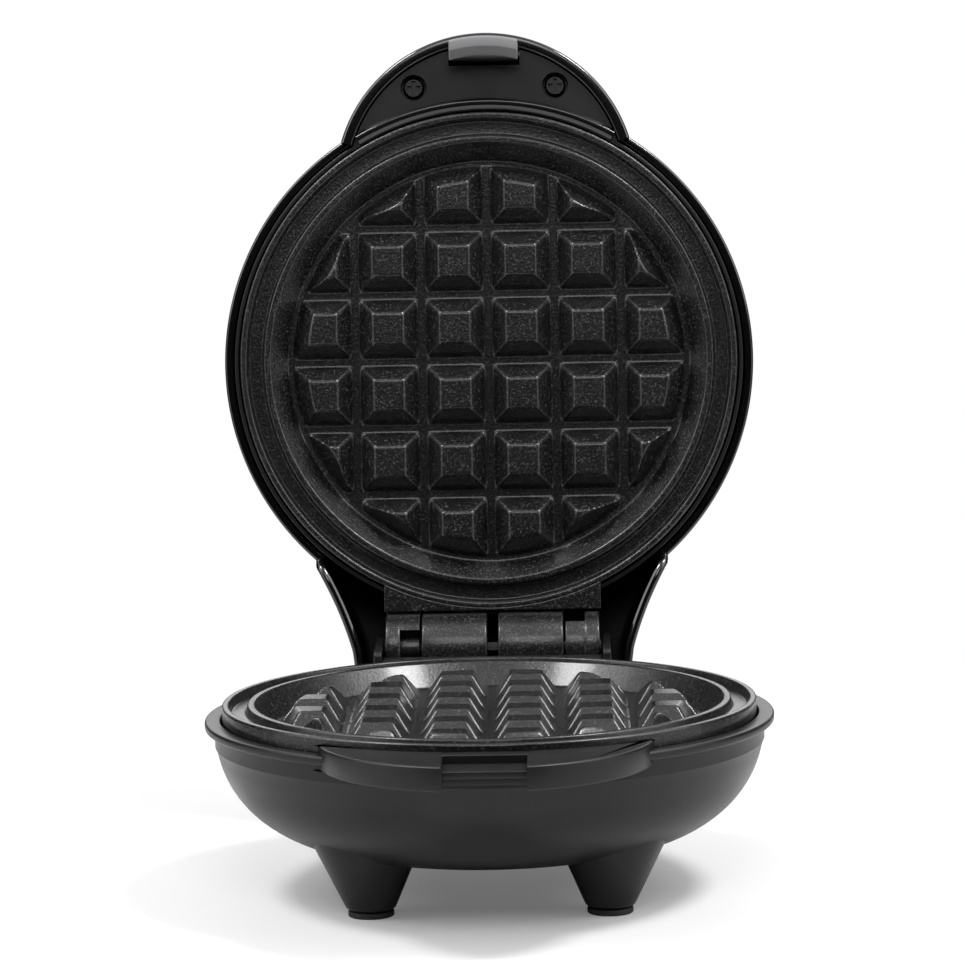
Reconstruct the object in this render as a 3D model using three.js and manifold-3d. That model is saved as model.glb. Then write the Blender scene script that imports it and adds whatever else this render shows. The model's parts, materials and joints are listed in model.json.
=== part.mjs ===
// Mini waffle maker with its lid open: a round bowl on four legs, a domed lid with a half-moon handle,
// and two alike cast waffle plates that carry the hinge between them.
// Millimetres, +Z up, the handle towards -Y and the hinge towards +Y. Everything is drawn closed, with
// z = 0 on the parting plane between the plates, and the lid is then swung open about the hinge pin.

import * as THREE from 'three';
import { mergeVertices } from 'three/addons/utils/BufferGeometryUtils.js';
import Module from 'manifold-3d';

const wasm = await Module();
wasm.setup();

// Driving dimensions of the whole product
const plateRadius = 59.6;
const rimHeight = 43.5;
const openAngle = 98;

// Clearances, and one overrun for every cut
const gap = 0.3;
const plateGap = 0.4;
const overrun = 5;

// The shells stand round the plate, and the hinge axis lies behind it
const shellWall = 2;
const frameRing = 1;
const ringClearance = 0.5;
const hingeSetback = 9.6;
const shellRadius = plateRadius + plateGap + frameRing + ringClearance + shellWall;
const hingeReach = plateRadius + hingeSetback;

// Facets around a circle
const wideFacets = 32;
const roundFacets = 12;
const smallFacets = 8;
const curveFacets = 12;
const squareSides = 4;

// Turns in degrees
const quarterTurn = 90;
const halfTurn = 180;

// Waffle plate casting, both plates alike
const plate = {
  halfGap: 0.25,
  rimWidth: 1.5,
  rimSkirt: 6,
  grooveDepth: 2.4,
  grooveWidth: 4.3,
  grooveDraft: 0.4,
  ringWidth: 1.4,
  wallRun: 4.1,
  floorDepth: 5.6,
  backDepth: 8.2,
  backInset: 9.6,
  edgeBreak: 0.35,
};
const grid = {
  columns: 6,
  pitch: 16,
  topWidth: 7.3,
  topDepth: 0.75,
  sideRun: 3.25,
  edgeValley: 1.4,
  clipRun: 3.6,
};

// Radii that bound the plate's groove, its inner ring and its waffle field
const grooveOuter = plateRadius - plate.rimWidth;
const grooveInner = grooveOuter - plate.grooveWidth;
const ringInner = grooveInner - plate.ringWidth;
const fieldRadius = ringInner - plate.wallRun - grid.edgeValley - grid.clipRun;

// Hinge that the two castings share
const hinge = {
  radius: 8.6,
  barrelInner: 1.3,
  barrelOuter: 16.85,
  lugInner: 17.3,
  lugOuter: 25.5,
  tabHalfWidth: 25.9,
  tabThickness: 4.4,
  tabClearance: 0.6,
  armTop: 3,
  armOverlap: 3,
  notchWidth: 4.6,
  coreRadius: 5,
  notchFrom: 58,
  toothAngle: 20,
  toothGap: 0.4,
  stopGapAngle: 2.5,
};
const pin = { radius: 2, bore: 2.3, headRadius: 3.2 };

// Base shell
const flange = { drop: 3.6, thickness: 2, edge: 0.3, overhang: 2.2 };
const bowl = {
  wall: 2.2,
  bottomDrop: 32.6,
  flatRadius: 28,
  shoulderDrop: 20.5,
  shoulderIn: 0.1,
  heelInset: 14.5,
  skirtDrop: 8.6,
  curveSteps: 5,
};
const lip = { top: 1.75, height: 5.3, notchWidth: 17.7, notchDepth: 5.7, ledge: 1.6, ledgeDepth: 3 };
const cradle = {
  radius: 11.2,
  cavity: 9.3,
  halfWidth: 28,
  cheek: 1.9,
  cheekRise: 2,
  backDrop: 0.5,
  webFront: 19.2,
  webDrop: 20,
  webFoot: 10.7,
  webFootDrop: 17.5,
  webKnee: 5.7,
  webKneeDrop: 11,
  pocketFront: 10.2,
  pocketTop: 12,
  pocketBottom: 18,
  wellDrop: 9.4,
};
const boss = { radius: 4.2, seat: 22, counterRadius: 3.3 };
const legs = {
  halfSpacing: 26.1,
  footRadius: 5.25,
  wall: 2,
  front: { footInset: 36.5, headInset: 36.2, headX: 26.6, headDrop: 26, headRadius: 12.6 },
  rear: { footInset: 13.5, headInset: 23, headX: 24.6, headDrop: 19.5, headRadius: 11.4 },
};
const pad = { thickness: 1.3, radius: 5.05, stemRadius: 1.8, stemBore: 2.1, headLength: 1.1 };
const gland = {
  drop: 24,
  innerInset: 14,
  outerInset: 4.1,
  boreRadius: 4.6,
  bossRadius: 6.6,
  cordRadius: 3.2,
  collarRadius: 5.9,
  collarLength: 1.6,
};
const glandInner = shellRadius - gland.innerInset;
const glandOuter = shellRadius - gland.outerInset;

// Lid: glossy cover outside, satin frame inside
const cover = {
  wall: shellWall,
  headroom: 9.1,
  rise: 3.6,
  edge: 1.6,
  shoulderRise: 18,
  shoulderIn: 0.6,
  crownInset: 20.5,
  curveSteps: 5,
  searchSteps: 48,
};
const handle = {
  radius: 36.2,
  overhang: 15.3,
  wall: 2.8,
  bottom: 1,
  sideTop: 9.5,
  crown: 20.5,
  crownInset: 14.2,
  curveSteps: 4,
};
const handleTip = shellRadius + handle.overhang;
const handleReach = handleTip - handle.radius;
const tail = {
  rootHalfWidth: 42.2,
  rootSetback: 20.2,
  waistHalfWidth: 33.6,
  waistBehind: 0.3,
  endHalfWidth: 31.8,
  endBehind: 14.6,
  cornerRadius: 5,
  bottom: 0.3,
  wall: 1.9,
  roofSetback: 11.2,
  roofCentreDrop: 14,
  roofRadius: 32,
  bendShare: 0.33,
  curveSteps: 4,
};
const frame = {
  ringBottom: 2.2,
  ringTop: 5.6,
  floorInset: 11.6,
  floorRise: 16.7,
  floor: 1.5,
  wall: 1.4,
  centreHole: 13,
  crescentGap: 0.35,
  crescentBottom: 2,
  crescent: 1.7,
  beadSetback: 1.6,
  beadWidth: 1.3,
  beadHeight: 1,
};
const frameTop = frame.floorRise + frame.floor;
const domeHeight = frameTop + cover.headroom;
const handleScrew = {
  rimClearance: 1.14,
  plateClearance: 1.1,
  headRadius: 2.6,
  faceRadius: 2.1,
  head: 1.5,
  driveRadius: 1.7,
  recessRadius: 3.15,
  recessDepth: 2.3,
  cupRadius: 4.7,
  shankRadius: 1.25,
  hole: 1.6,
  length: 9,
  bossRadius: 4,
  bossBore: 1.55,
};
const moonRadius = handle.radius - handle.wall - frame.crescentGap;
const handleScrewReach = plateRadius + plateGap + handleScrew.cupRadius + handleScrew.plateClearance;
const latch = {
  width: 16.4,
  thickness: 2.6,
  skin: 1.6,
  inset: 1.95,
  pivotInset: 4.6,
  pivotRise: 6.4,
  barrel: 2,
  pinRadius: 0.8,
  pinBore: 1.1,
  bottom: 8,
  nibInset: 7.1,
  nibTop: 5.5,
  nibTip: 0.9,
  relief: 0.7,
  reliefFrom: -0.4,
  top: 7.6,
  pocketTop: 9.2,
  sideGap: 0.35,
  lugWidth: 2,
  lugRadius: 2.4,
  slotInset: 7.9,
};
const latchPivot = handleTip - latch.pivotInset;

// Width of a cross drive's slot as a share of its reach
const driveSlotShare = 0.3;

// Heating and electrical pieces
const element = {
  plateInset: 21.6,
  tube: 3,
  openHalfAngle: 18,
  legLength: 5,
  bend: 4.5,
  arcSteps: 18,
  bendSteps: 3,
  legSteps: 2,
  sides: 6,
};
const elementCircle = plateRadius - element.plateInset;

// Posts on the back of a plate: three inside the heating element, and two for the thermostat's strap
const posts = {
  count: 3,
  radius: 3.6,
  elementInset: 12,
  end: 15.3,
  bore: 1.7,
  boreTop: 10,
  front: -90,
};
const postCircle = elementCircle - posts.elementInset;
const clipPosts = { radius: 2.4, spacing: 26, end: 12.7, bore: 1.1 };
const reflector = {
  plateInset: 13.6,
  thickness: 0.8,
  lift: 3.2,
  brim: 3,
  centreHole: 11,
  legHole: 4.6,
};
const plateScrew = {
  headRadius: 2.9,
  head: 2,
  shankRadius: 1.4,
  hole: 1.8,
  driveRadius: 1.3,
  driveDepth: 1.1,
};
const thermostat = {
  radius: 8,
  body: 4.2,
  neckRadius: 5.2,
  neck: 1.8,
  bladeWidth: 5,
  bladeLength: 6.5,
  blade: 0.8,
};
const strap = {
  width: 8,
  thickness: 0.7,
  length: 32,
  hole: 1.3,
  windowRadius: 5.6,
  eyeRadius: 7.6,
};
const strapScrew = { headRadius: 2, head: 1.2, shankRadius: 0.85, length: 4 };
const fuse = { radius: 2.1, length: 13, reach: 19.5, leadRadius: 0.6, leadLength: 4 };
const block = {
  width: 17,
  depth: 9,
  height: 8,
  reach: 20,
  postRadius: 1.7,
  postSpacing: 8,
  postDepth: 5,
};
const lamp = {
  postSetback: 8,
  lensRadius: 3,
  lensHole: 3.25,
  lensCollar: 4.3,
  collar: 1.1,
  proud: 0.7,
  skirt: 3.4,
  bulbRadius: 1.9,
  shieldClearance: 0.6,
  tipShare: 0.7,
  socketRadius: 2.2,
};
const lampReach = postCircle + lamp.postSetback;

// Turns a closed geometry into a solid, pointing its faces outwards
function solid(geometry) {
  const bare = geometry.clone();
  bare.deleteAttribute('normal');
  bare.deleteAttribute('uv');
  const merged = mergeVertices(bare);
  const places = new Float32Array(merged.attributes.position.array);
  const corners = new Uint32Array(merged.index.array);
  const kept = [];
  for (let i = 0; i < corners.length; i += 3) {
    const [a, b, c] = [corners[i], corners[i + 1], corners[i + 2]];
    if (a !== b && b !== c && c !== a) kept.push(a, b, c);
  }
  const build = (list) => new wasm.Manifold(
    new wasm.Mesh({ numProp: 3, vertProperties: places, triVerts: new Uint32Array(list) }));
  const made = build(kept);
  if (made.volume() > 0) return made;
  const turned = [];
  for (let i = 0; i < kept.length; i += 3) turned.push(kept[i], kept[i + 2], kept[i + 1]);
  return build(turned);
}

function joined(...solids) {
  return solids.reduce((whole, next) => whole.add(next));
}

function cut(body, ...tools) {
  return tools.reduce((whole, next) => whole.subtract(next), body);
}

// A revolved solid about the vertical line through centre; the profile is a list of [radius, z]
function revolved(profile, facets, centre = [0, 0]) {
  const points = profile.map(([radius, z]) => new THREE.Vector2(radius, z));
  const geometry = new THREE.LatheGeometry(points, facets);
  geometry.rotateX(Math.PI / 2);
  geometry.translate(centre[0], centre[1], 0);
  return solid(geometry);
}

// A prism along Z of an outline given as a THREE.Shape
function upright(shape, bottom, top, curveSegments = curveFacets) {
  const depth = top - bottom;
  const geometry = new THREE.ExtrudeGeometry(shape, { depth, bevelEnabled: false, curveSegments });
  geometry.translate(0, 0, bottom);
  return solid(geometry);
}

// A prism along X of an outline drawn in the (y, z) plane
function crosswise(shape, left, right, curveSegments = curveFacets) {
  const depth = right - left;
  const geometry = new THREE.ExtrudeGeometry(shape, { depth, bevelEnabled: false, curveSegments });
  geometry.applyMatrix4(new THREE.Matrix4().makeBasis(
    new THREE.Vector3(0, 1, 0), new THREE.Vector3(0, 0, 1), new THREE.Vector3(1, 0, 0)));
  geometry.translate(left, 0, 0);
  return solid(geometry);
}

function polygon(points) {
  return new THREE.Shape(points.map(([a, b]) => new THREE.Vector2(a, b)));
}

function brick(x0, x1, y0, y1, z0, z1) {
  const geometry = new THREE.BoxGeometry(x1 - x0, y1 - y0, z1 - z0);
  geometry.translate((x0 + x1) / 2, (y0 + y1) / 2, (z0 + z1) / 2);
  return solid(geometry);
}

// A round bar from one z to another, with its own radius at each end
function column(x, y, bottom, top, radius, topRadius = radius, facets = roundFacets) {
  const geometry = new THREE.CylinderGeometry(topRadius, radius, top - bottom, facets);
  geometry.rotateX(Math.PI / 2);
  geometry.translate(x, y, (bottom + top) / 2);
  return solid(geometry);
}

// A column that is thin enough for few facets
function slimColumn(x, y, bottom, top, radius) {
  return column(x, y, bottom, top, radius, radius, smallFacets);
}

// A column as wide as the plates and shells
function drum(x, y, bottom, top, radius) {
  return column(x, y, bottom, top, radius, radius, wideFacets);
}

// A round bar along X
function axle(left, right, y, z, radius, facets = roundFacets) {
  const geometry = new THREE.CylinderGeometry(radius, radius, right - left, facets);
  geometry.rotateZ(Math.PI / 2);
  geometry.translate((left + right) / 2, y, z);
  return solid(geometry);
}

// A round bar along Y
function barAlongY(x, front, back, z, radius, facets = roundFacets) {
  const geometry = new THREE.CylinderGeometry(radius, radius, back - front, facets);
  geometry.translate(x, (front + back) / 2, z);
  return solid(geometry);
}

// Places of a cubic curve as [a, b] pairs, its start left out when asked
function curvePoints(a, b, c, d, steps, skipStart = false) {
  const curve = new THREE.CubicBezierCurve(...[a, b, c, d].map(([x, y]) => new THREE.Vector2(x, y)));
  return curve.getPoints(steps).slice(skipStart ? 1 : 0).map((p) => [p.x, p.y]);
}

// Part of a round slice about the hinge axis, between two angles measured from the front upwards
function hingeSector(from, to, outer, left, right) {
  const corners = [[hingeReach, 0]];
  for (let i = 0; i <= smallFacets; i += 1) {
    const angle = THREE.MathUtils.degToRad(halfTurn - from - (to - from) * i / smallFacets);
    corners.push([hingeReach + outer * Math.cos(angle), outer * Math.sin(angle)]);
  }
  return crosswise(polygon(corners), left, right);
}

// Waffle plate, shown as the lower one
function plateDisc() {
  const top = -plate.halfGap;
  const backRadius = plateRadius - plate.backInset;
  const draft = plate.grooveDraft;
  return revolved([
    [0, -plate.backDepth],
    [backRadius, -plate.backDepth],
    [backRadius + plate.backDepth - plate.rimSkirt, -plate.rimSkirt],
    [plateRadius - plate.edgeBreak, -plate.rimSkirt],
    [plateRadius, -plate.rimSkirt + plate.edgeBreak],
    [plateRadius, top - plate.edgeBreak],
    [plateRadius - plate.edgeBreak, top],
    [grooveOuter, top],
    [grooveOuter - draft, -plate.grooveDepth],
    [grooveInner + draft, -plate.grooveDepth],
    [grooveInner, top],
    [ringInner, top],
    [ringInner - plate.wallRun, -plate.floorDepth],
    [0, -plate.floorDepth],
  ], wideFacets);
}

// One raised square of the waffle grid: a four-sided taper with a flat top
function waffleSquare(x, y) {
  const diagonal = Math.SQRT1_2;
  const top = grid.topWidth * diagonal;
  const foot = (grid.topWidth + 2 * grid.sideRun) * diagonal;
  const sink = plate.backDepth - plate.floorDepth;
  const height = plate.floorDepth - grid.topDepth;
  const spread = (foot - top) * sink / (2 * height);
  const geometry = new THREE.CylinderGeometry(top, foot + spread, height + sink / 2, squareSides);
  geometry.rotateY(Math.PI / squareSides);
  geometry.rotateX(Math.PI / 2);
  geometry.translate(x, y, -grid.topDepth - (height + sink / 2) / 2);
  return solid(geometry);
}

// The grid without its corners, trimmed to a round field by a cone
function waffleGrid() {
  const half = (grid.columns - 1) / 2;
  const squares = [];
  for (let row = -half; row <= half; row += 1) {
    for (let columnAt = -half; columnAt <= half; columnAt += 1) {
      const corner = Math.abs(row) === half && Math.abs(columnAt) === half;
      if (!corner) squares.push(waffleSquare(columnAt * grid.pitch, row * grid.pitch));
    }
  }
  const depth = plate.backDepth - grid.topDepth;
  const slope = grid.clipRun / (plate.floorDepth - grid.topDepth);
  const field = column(0, 0, -plate.backDepth, -grid.topDepth,
    fieldRadius + slope * depth, fieldRadius, wideFacets);
  return joined(...squares).intersect(field);
}

function postPlaces() {
  return Array.from({ length: posts.count }, (_, i) => {
    const angle = THREE.MathUtils.degToRad(posts.front + i * 2 * halfTurn / posts.count);
    return [postCircle * Math.cos(angle), postCircle * Math.sin(angle)];
  });
}

// The two places of the posts that hold the strap
function clipPlaces() {
  return [-1, 1].map((side) => [side * clipPosts.spacing / 2, 0]);
}

// The three screw posts and the two strap posts under a plate
function platePosts() {
  return joined(
    ...postPlaces().map(([x, y]) => slimColumn(x, y, -posts.end, -plate.floorDepth, posts.radius)),
    ...clipPlaces().map(([x, y]) => slimColumn(x, y, -clipPosts.end, -plate.floorDepth, clipPosts.radius)));
}

function platePostBores() {
  return joined(
    ...postPlaces().map(([x, y]) => slimColumn(x, y, -posts.end - overrun, -posts.boreTop, posts.bore)),
    ...clipPlaces().map(([x, y]) => (
      slimColumn(x, y, -clipPosts.end - overrun, -plate.backDepth, clipPosts.bore))));
}

// Hinge half of a casting: tab, barrel with its stop tooth, and lug with the notch for the other's tooth
function hingeHalf() {
  const top = -plate.halfGap;
  const tabReach = hingeReach - hinge.radius - hinge.tabClearance;
  const tab = cut(
    brick(-hinge.tabHalfWidth, hinge.tabHalfWidth, plateRadius / 2, tabReach, -hinge.tabThickness, top),
    drum(0, 0, -plate.backDepth, overrun, plateRadius - plate.edgeBreak));
  const arm = (left, right) => brick(left, right, plateRadius - hinge.armOverlap, hingeReach,
    -plate.backDepth, -hinge.armTop);
  const barrel = joined(
    axle(-hinge.barrelOuter, -hinge.barrelInner, hingeReach, 0, hinge.radius, 2 * roundFacets),
    arm(-hinge.barrelOuter, -hinge.barrelInner));
  const lug = joined(
    axle(hinge.lugInner, hinge.lugOuter, hingeReach, 0, hinge.radius, 2 * roundFacets),
    arm(hinge.lugInner, hinge.lugOuter));
  const notchEnd = hinge.notchFrom + hinge.toothAngle + openAngle;
  const notch = cut(
    hingeSector(hinge.notchFrom - hinge.stopGapAngle, notchEnd + hinge.stopGapAngle, hinge.radius + overrun,
      hinge.lugInner - overrun, hinge.lugInner + hinge.notchWidth),
    axle(hinge.lugInner - 2 * overrun, hinge.lugOuter, hingeReach, 0, hinge.coreRadius));
  const tooth = cut(
    hingeSector(-hinge.notchFrom - hinge.toothAngle, -hinge.notchFrom, hinge.radius,
      -hinge.lugInner - hinge.notchWidth + hinge.toothGap, -hinge.barrelOuter + hinge.toothGap),
    axle(-hinge.lugOuter, -hinge.barrelOuter, hingeReach, 0, hinge.coreRadius + hinge.toothGap));
  const bore = axle(-hinge.lugOuter - overrun, hinge.lugOuter + overrun, hingeReach, 0, pin.bore);
  return cut(joined(tab, barrel, cut(lug, notch), tooth), bore);
}

function wafflePlate() {
  return cut(joined(plateDisc(), waffleGrid(), platePosts(), hingeHalf()), platePostBores());
}

// Hinge pin with a head at its left end, kept in place by the cheeks of the base
function hingePin() {
  const end = cradle.halfWidth - cradle.cheek - gap;
  return joined(
    axle(-hinge.lugOuter - gap, hinge.lugOuter + gap, hingeReach, 0, pin.radius),
    axle(-end, -hinge.lugOuter - gap / 2, hingeReach, 0, pin.headRadius));
}

// Base shell
function bowlProfile(inset) {
  const side = shellRadius - flange.overhang - inset;
  const start = inset > 0 ? bowl.skirtDrop + inset : flange.drop + flange.thickness;
  const bottom = bowl.bottomDrop - inset;
  return curvePoints([side, -start], [side - bowl.shoulderIn, -bowl.shoulderDrop],
    [shellRadius - bowl.heelInset - inset / 2, -bottom], [bowl.flatRadius, -bottom], bowl.curveSteps);
}

function bowlOuter() {
  const top = -flange.drop;
  const under = top - flange.thickness;
  return revolved([
    [0, top],
    [shellRadius - flange.edge, top],
    [shellRadius, top - flange.edge],
    [shellRadius, under + flange.edge],
    [shellRadius - flange.edge, under],
    ...bowlProfile(0),
    [0, -bowl.bottomDrop],
  ], wideFacets);
}

function bowlHollow() {
  const mouth = plateRadius + plateGap;
  return revolved([
    [0, overrun],
    [mouth, overrun],
    [mouth, -bowl.skirtDrop],
    ...bowlProfile(bowl.wall),
    [0, -bowl.bottomDrop + bowl.wall],
  ], wideFacets);
}

// Oblique taper from the foot circle up to a wider circle inside the bowl, thinned by inset
function legTaper(foot, head, inset, bottom) {
  const rise = rimHeight - head.drop - pad.thickness;
  const low = -rimHeight + pad.thickness;
  const slope = (head.radius - legs.footRadius) / rise;
  const lift = bottom - low;
  const height = rise - lift;
  const geometry = new THREE.CylinderGeometry(head.radius - inset,
    legs.footRadius + slope * lift - inset, height, roundFacets);
  geometry.rotateX(Math.PI / 2);
  geometry.translate(0, 0, bottom + height / 2 - low);
  const leanX = (head.x - foot.x) / rise;
  const leanY = (head.y - foot.y) / rise;
  geometry.applyMatrix4(new THREE.Matrix4().makeShear(0, 0, 0, 0, leanX, leanY));
  geometry.translate(foot.x, foot.y, low);
  return solid(geometry);
}

function legPlaces() {
  const rows = [[-1, legs.front], [1, legs.rear]];
  return [-1, 1].flatMap((side) => rows.map(([end, row]) => ({
    foot: { x: side * legs.halfSpacing, y: end * (shellRadius - row.footInset) },
    head: {
      x: side * row.headX,
      y: end * (shellRadius - row.headInset),
      drop: row.headDrop,
      radius: row.headRadius,
    },
  })));
}

// Half-moon lip under the handle, with the notch and ledge that the latch hooks under
function frontLip() {
  const bottom = -lip.top - lip.height;
  const moon = cut(
    drum(0, -handleReach, bottom, -lip.top, handle.radius),
    brick(-shellRadius, shellRadius, -handleReach, shellRadius, -rimHeight, rimHeight));
  const half = lip.notchWidth / 2;
  const floor = -handleTip + lip.notchDepth;
  const notch = joined(
    brick(-half, half, -handleTip - overrun, floor, -rimHeight, rimHeight),
    brick(-half, half, floor - overrun, -shellRadius - gap, -flange.drop, rimHeight),
    brick(-half, half, floor - overrun, floor + lip.ledgeDepth, -rimHeight, -flange.drop - lip.ledge));
  return cut(moon, notch);
}

// Round-backed cradle that the hinge turns in, with a cheek beside each end of the pin
function hingeCradle() {
  const web = polygon([
    [hingeReach - cradle.webFront, -flange.drop],
    [hingeReach - cradle.webFront, -cradle.webDrop],
    [hingeReach - cradle.webFoot, -cradle.webFootDrop],
    [hingeReach - cradle.webKnee, -cradle.webKneeDrop],
    [hingeReach, -cradle.webKneeDrop],
    [hingeReach, -flange.drop],
  ]);
  const round = axle(-cradle.halfWidth, cradle.halfWidth, hingeReach, 0, cradle.radius, 2 * roundFacets);
  const shape = joined(round, crosswise(web, -cradle.halfWidth, cradle.halfWidth));
  const inner = cradle.halfWidth - cradle.cheek;
  const far = hingeReach + 2 * cradle.radius;
  const above = joined(
    brick(-cradle.halfWidth - overrun, cradle.halfWidth + overrun, 0, far, cradle.cheekRise, rimHeight),
    brick(-inner, inner, 0, far, -cradle.backDrop, rimHeight));
  const pocket = brick(-inner, inner, 0, hingeReach - cradle.pocketFront, -cradle.pocketBottom,
    -cradle.pocketTop);
  return cut(shape, above, pocket);
}

function hingeWell() {
  const inner = cradle.halfWidth - cradle.cheek;
  return joined(
    axle(-inner, inner, hingeReach, 0, cradle.cavity, 2 * roundFacets),
    brick(-inner, inner, shellRadius / 2, hingeReach, -cradle.wellDrop, rimHeight));
}

function baseShell() {
  const legSet = legPlaces();
  const low = -rimHeight + pad.thickness + gap;
  const tapers = legSet.map(({ foot, head }) => legTaper(foot, head, 0, low));
  const hollows = legSet.map(({ foot, head }) => legTaper(foot, head, legs.wall, low + legs.wall));
  const stems = legSet.map(({ foot }) => (
    slimColumn(foot.x, foot.y, -rimHeight - overrun, low + 2 * legs.wall, pad.stemBore)));
  const bossTop = -posts.end - reflector.thickness - 2 * gap;
  const screwBosses = postPlaces().map(([x, y]) => (
    slimColumn(x, y, -bowl.bottomDrop, bossTop, boss.radius)));
  const screwHoles = postPlaces().map(([x, y]) => joined(
    slimColumn(x, y, -rimHeight, 0, plateScrew.hole),
    slimColumn(x, y, -rimHeight, -boss.seat, boss.counterRadius)));
  const glandBoss = barAlongY(0, glandInner, glandOuter, -gland.drop, gland.bossRadius);
  const glandBore = barAlongY(0, glandInner - overrun, glandOuter + overrun, -gland.drop,
    gland.boreRadius);
  const outside = joined(bowlOuter(), frontLip(), hingeCradle(), ...tapers);
  const hollow = cut(outside, bowlHollow(), ...hollows, hingeWell());
  return cut(joined(hollow, ...screwBosses, glandBoss), ...screwHoles, glandBore, ...stems);
}

// Rubber foot: a disc with a stem that pushes into the leg
function footPad({ foot }) {
  const top = -rimHeight + pad.thickness;
  const neck = top + gap + legs.wall + gap;
  return joined(
    column(foot.x, foot.y, -rimHeight, top, pad.radius),
    slimColumn(foot.x, foot.y, top - pad.thickness / 2, neck + pad.headLength / 2, pad.stemRadius));
}

// Cross-head screw with a pan head against a seat and its tip in a plate's post
function plateScrewBody(x, y, seat, tip) {
  const up = Math.sign(tip - seat);
  const span = (a, b) => [Math.min(a, b), Math.max(a, b)];
  const under = seat - up * gap;
  const face = under - up * plateScrew.head;
  const middle = (under + face) / 2;
  const head = slimColumn(x, y, ...span(under, face), plateScrew.headRadius);
  const shank = slimColumn(x, y, ...span(middle, tip), plateScrew.shankRadius);
  const arm = plateScrew.driveRadius;
  const slot = plateScrew.driveRadius * driveSlotShare;
  const reach = span(face - up * overrun, face + up * plateScrew.driveDepth);
  const drive = joined(
    brick(x - arm, x + arm, y - slot, y + slot, ...reach),
    brick(x - slot, x + slot, y - arm, y + arm, ...reach));
  return cut(joined(head, shank), drive);
}

// Sheathed heating element: an open ring with both ends turned away from the plate
function elementPath() {
  const points = [];
  const depth = -plate.backDepth - gap - element.tube;
  const start = THREE.MathUtils.degToRad(quarterTurn + element.openHalfAngle);
  const sweep = 2 * Math.PI - 2 * THREE.MathUtils.degToRad(element.openHalfAngle);
  const place = (angle, z) => new THREE.Vector3(elementCircle * Math.cos(angle),
    elementCircle * Math.sin(angle), z);
  const turn = element.bend / elementCircle;
  const leg = (atStart) => {
    const side = atStart ? -1 : 1;
    const base = atStart ? start : start + sweep;
    const list = [place(base + side * turn, depth - element.bend - element.legLength),
      place(base + side * turn, depth - element.bend - element.legLength / 2)];
    for (let i = 0; i <= element.bendSteps; i += 1) {
      const part = (i / element.bendSteps) * Math.PI / 2;
      list.push(place(base + side * turn * Math.cos(part), depth - element.bend * (1 - Math.sin(part))));
    }
    return list;
  };
  points.push(...leg(true));
  for (let i = 1; i < element.arcSteps; i += 1) {
    points.push(place(start + sweep * i / element.arcSteps, depth));
  }
  points.push(...leg(false).reverse());
  return new THREE.CatmullRomCurve3(points, false, 'centripetal');
}

function heatingElement() {
  const path = elementPath();
  const section = new THREE.Shape();
  for (let i = 0; i < element.sides; i += 1) {
    const angle = 2 * Math.PI * i / element.sides;
    const corner = [element.tube * Math.cos(angle), element.tube * Math.sin(angle)];
    if (i === 0) section.moveTo(...corner);
    else section.lineTo(...corner);
  }
  section.closePath();
  const steps = element.arcSteps + 2 * (element.bendSteps + element.legSteps);
  return solid(new THREE.ExtrudeGeometry(section, { steps, bevelEnabled: false, extrudePath: path }));
}

// Where the two ends of the element come down
function elementEnds() {
  const turn = THREE.MathUtils.degToRad(quarterTurn - element.openHalfAngle) + element.bend / elementCircle;
  return [-1, 1].map((side) => [side * elementCircle * Math.cos(turn), elementCircle * Math.sin(turn)]);
}

// Thin heat shield pressed between the plate posts and the bosses
function heatShield() {
  const top = -posts.end - gap;
  const low = top - reflector.thickness;
  const flatRadius = plateRadius - reflector.plateInset;
  const rim = flatRadius + reflector.brim;
  const dish = revolved([
    [reflector.centreHole, low],
    [flatRadius, low],
    [rim, low + reflector.lift],
    [rim, low + reflector.lift + reflector.thickness],
    [flatRadius - reflector.thickness / 2, top],
    [reflector.centreHole, top],
    [reflector.centreHole, low],
  ], wideFacets);
  const hole = (radius) => ([x, y]) => slimColumn(x, y, low - overrun, top + overrun, radius);
  const screws = postPlaces().map(hole(plateScrew.hole));
  const legHoles = elementEnds().map(hole(reflector.legHole));
  return cut(dish, ...screws, ...legHoles);
}

// Bimetal thermostat pressed to the plate, with a blade terminal each side
function thermostatBody() {
  const top = -plate.backDepth - gap;
  const shoulder = top - thermostat.body;
  const low = shoulder - thermostat.neck;
  const half = thermostat.bladeWidth / 2;
  const blades = [-1, 1].map((side) => {
    const reach = thermostat.neckRadius + thermostat.bladeLength;
    const z = low - thermostat.blade;
    return brick(-half, half, Math.min(side * half, side * reach), Math.max(side * half, side * reach),
      z, low + thermostat.blade / 2);
  });
  return joined(column(0, 0, shoulder, top, thermostat.radius),
    column(0, 0, low - thermostat.blade / 2, shoulder + gap, thermostat.neckRadius), ...blades);
}

// Sprung strap that presses the thermostat against the plate, widened round the thermostat's neck
function strapBody() {
  const top = -clipPosts.end - gap;
  const low = top - strap.thickness;
  const half = strap.length / 2;
  const bar = brick(-half, half, -strap.width / 2, strap.width / 2, low, top);
  const eye = column(0, 0, low, top, strap.eyeRadius);
  const window = column(0, 0, low - overrun, top + overrun, strap.windowRadius);
  const holes = clipPlaces().map(([x, y]) => slimColumn(x, y, low - overrun, top + overrun, strap.hole));
  return cut(joined(bar, eye), window, ...holes);
}

function strapScrewBody(x, y) {
  const under = -clipPosts.end - gap - strap.thickness - gap;
  const headLow = under - strapScrew.head;
  return joined(
    slimColumn(x, y, headLow, under, strapScrew.headRadius),
    slimColumn(x, y, under - strapScrew.head / 2, under + strapScrew.length, strapScrew.shankRadius));
}

// Thermal fuse lying against the plate between its posts
function thermalFuse() {
  const z = -plate.backDepth - gap - fuse.radius;
  const half = fuse.length / 2;
  return joined(
    axle(-half, half, fuse.reach, z, fuse.radius, smallFacets),
    axle(-half - fuse.leadLength, half + fuse.leadLength, fuse.reach, z, fuse.leadRadius, smallFacets));
}

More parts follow.
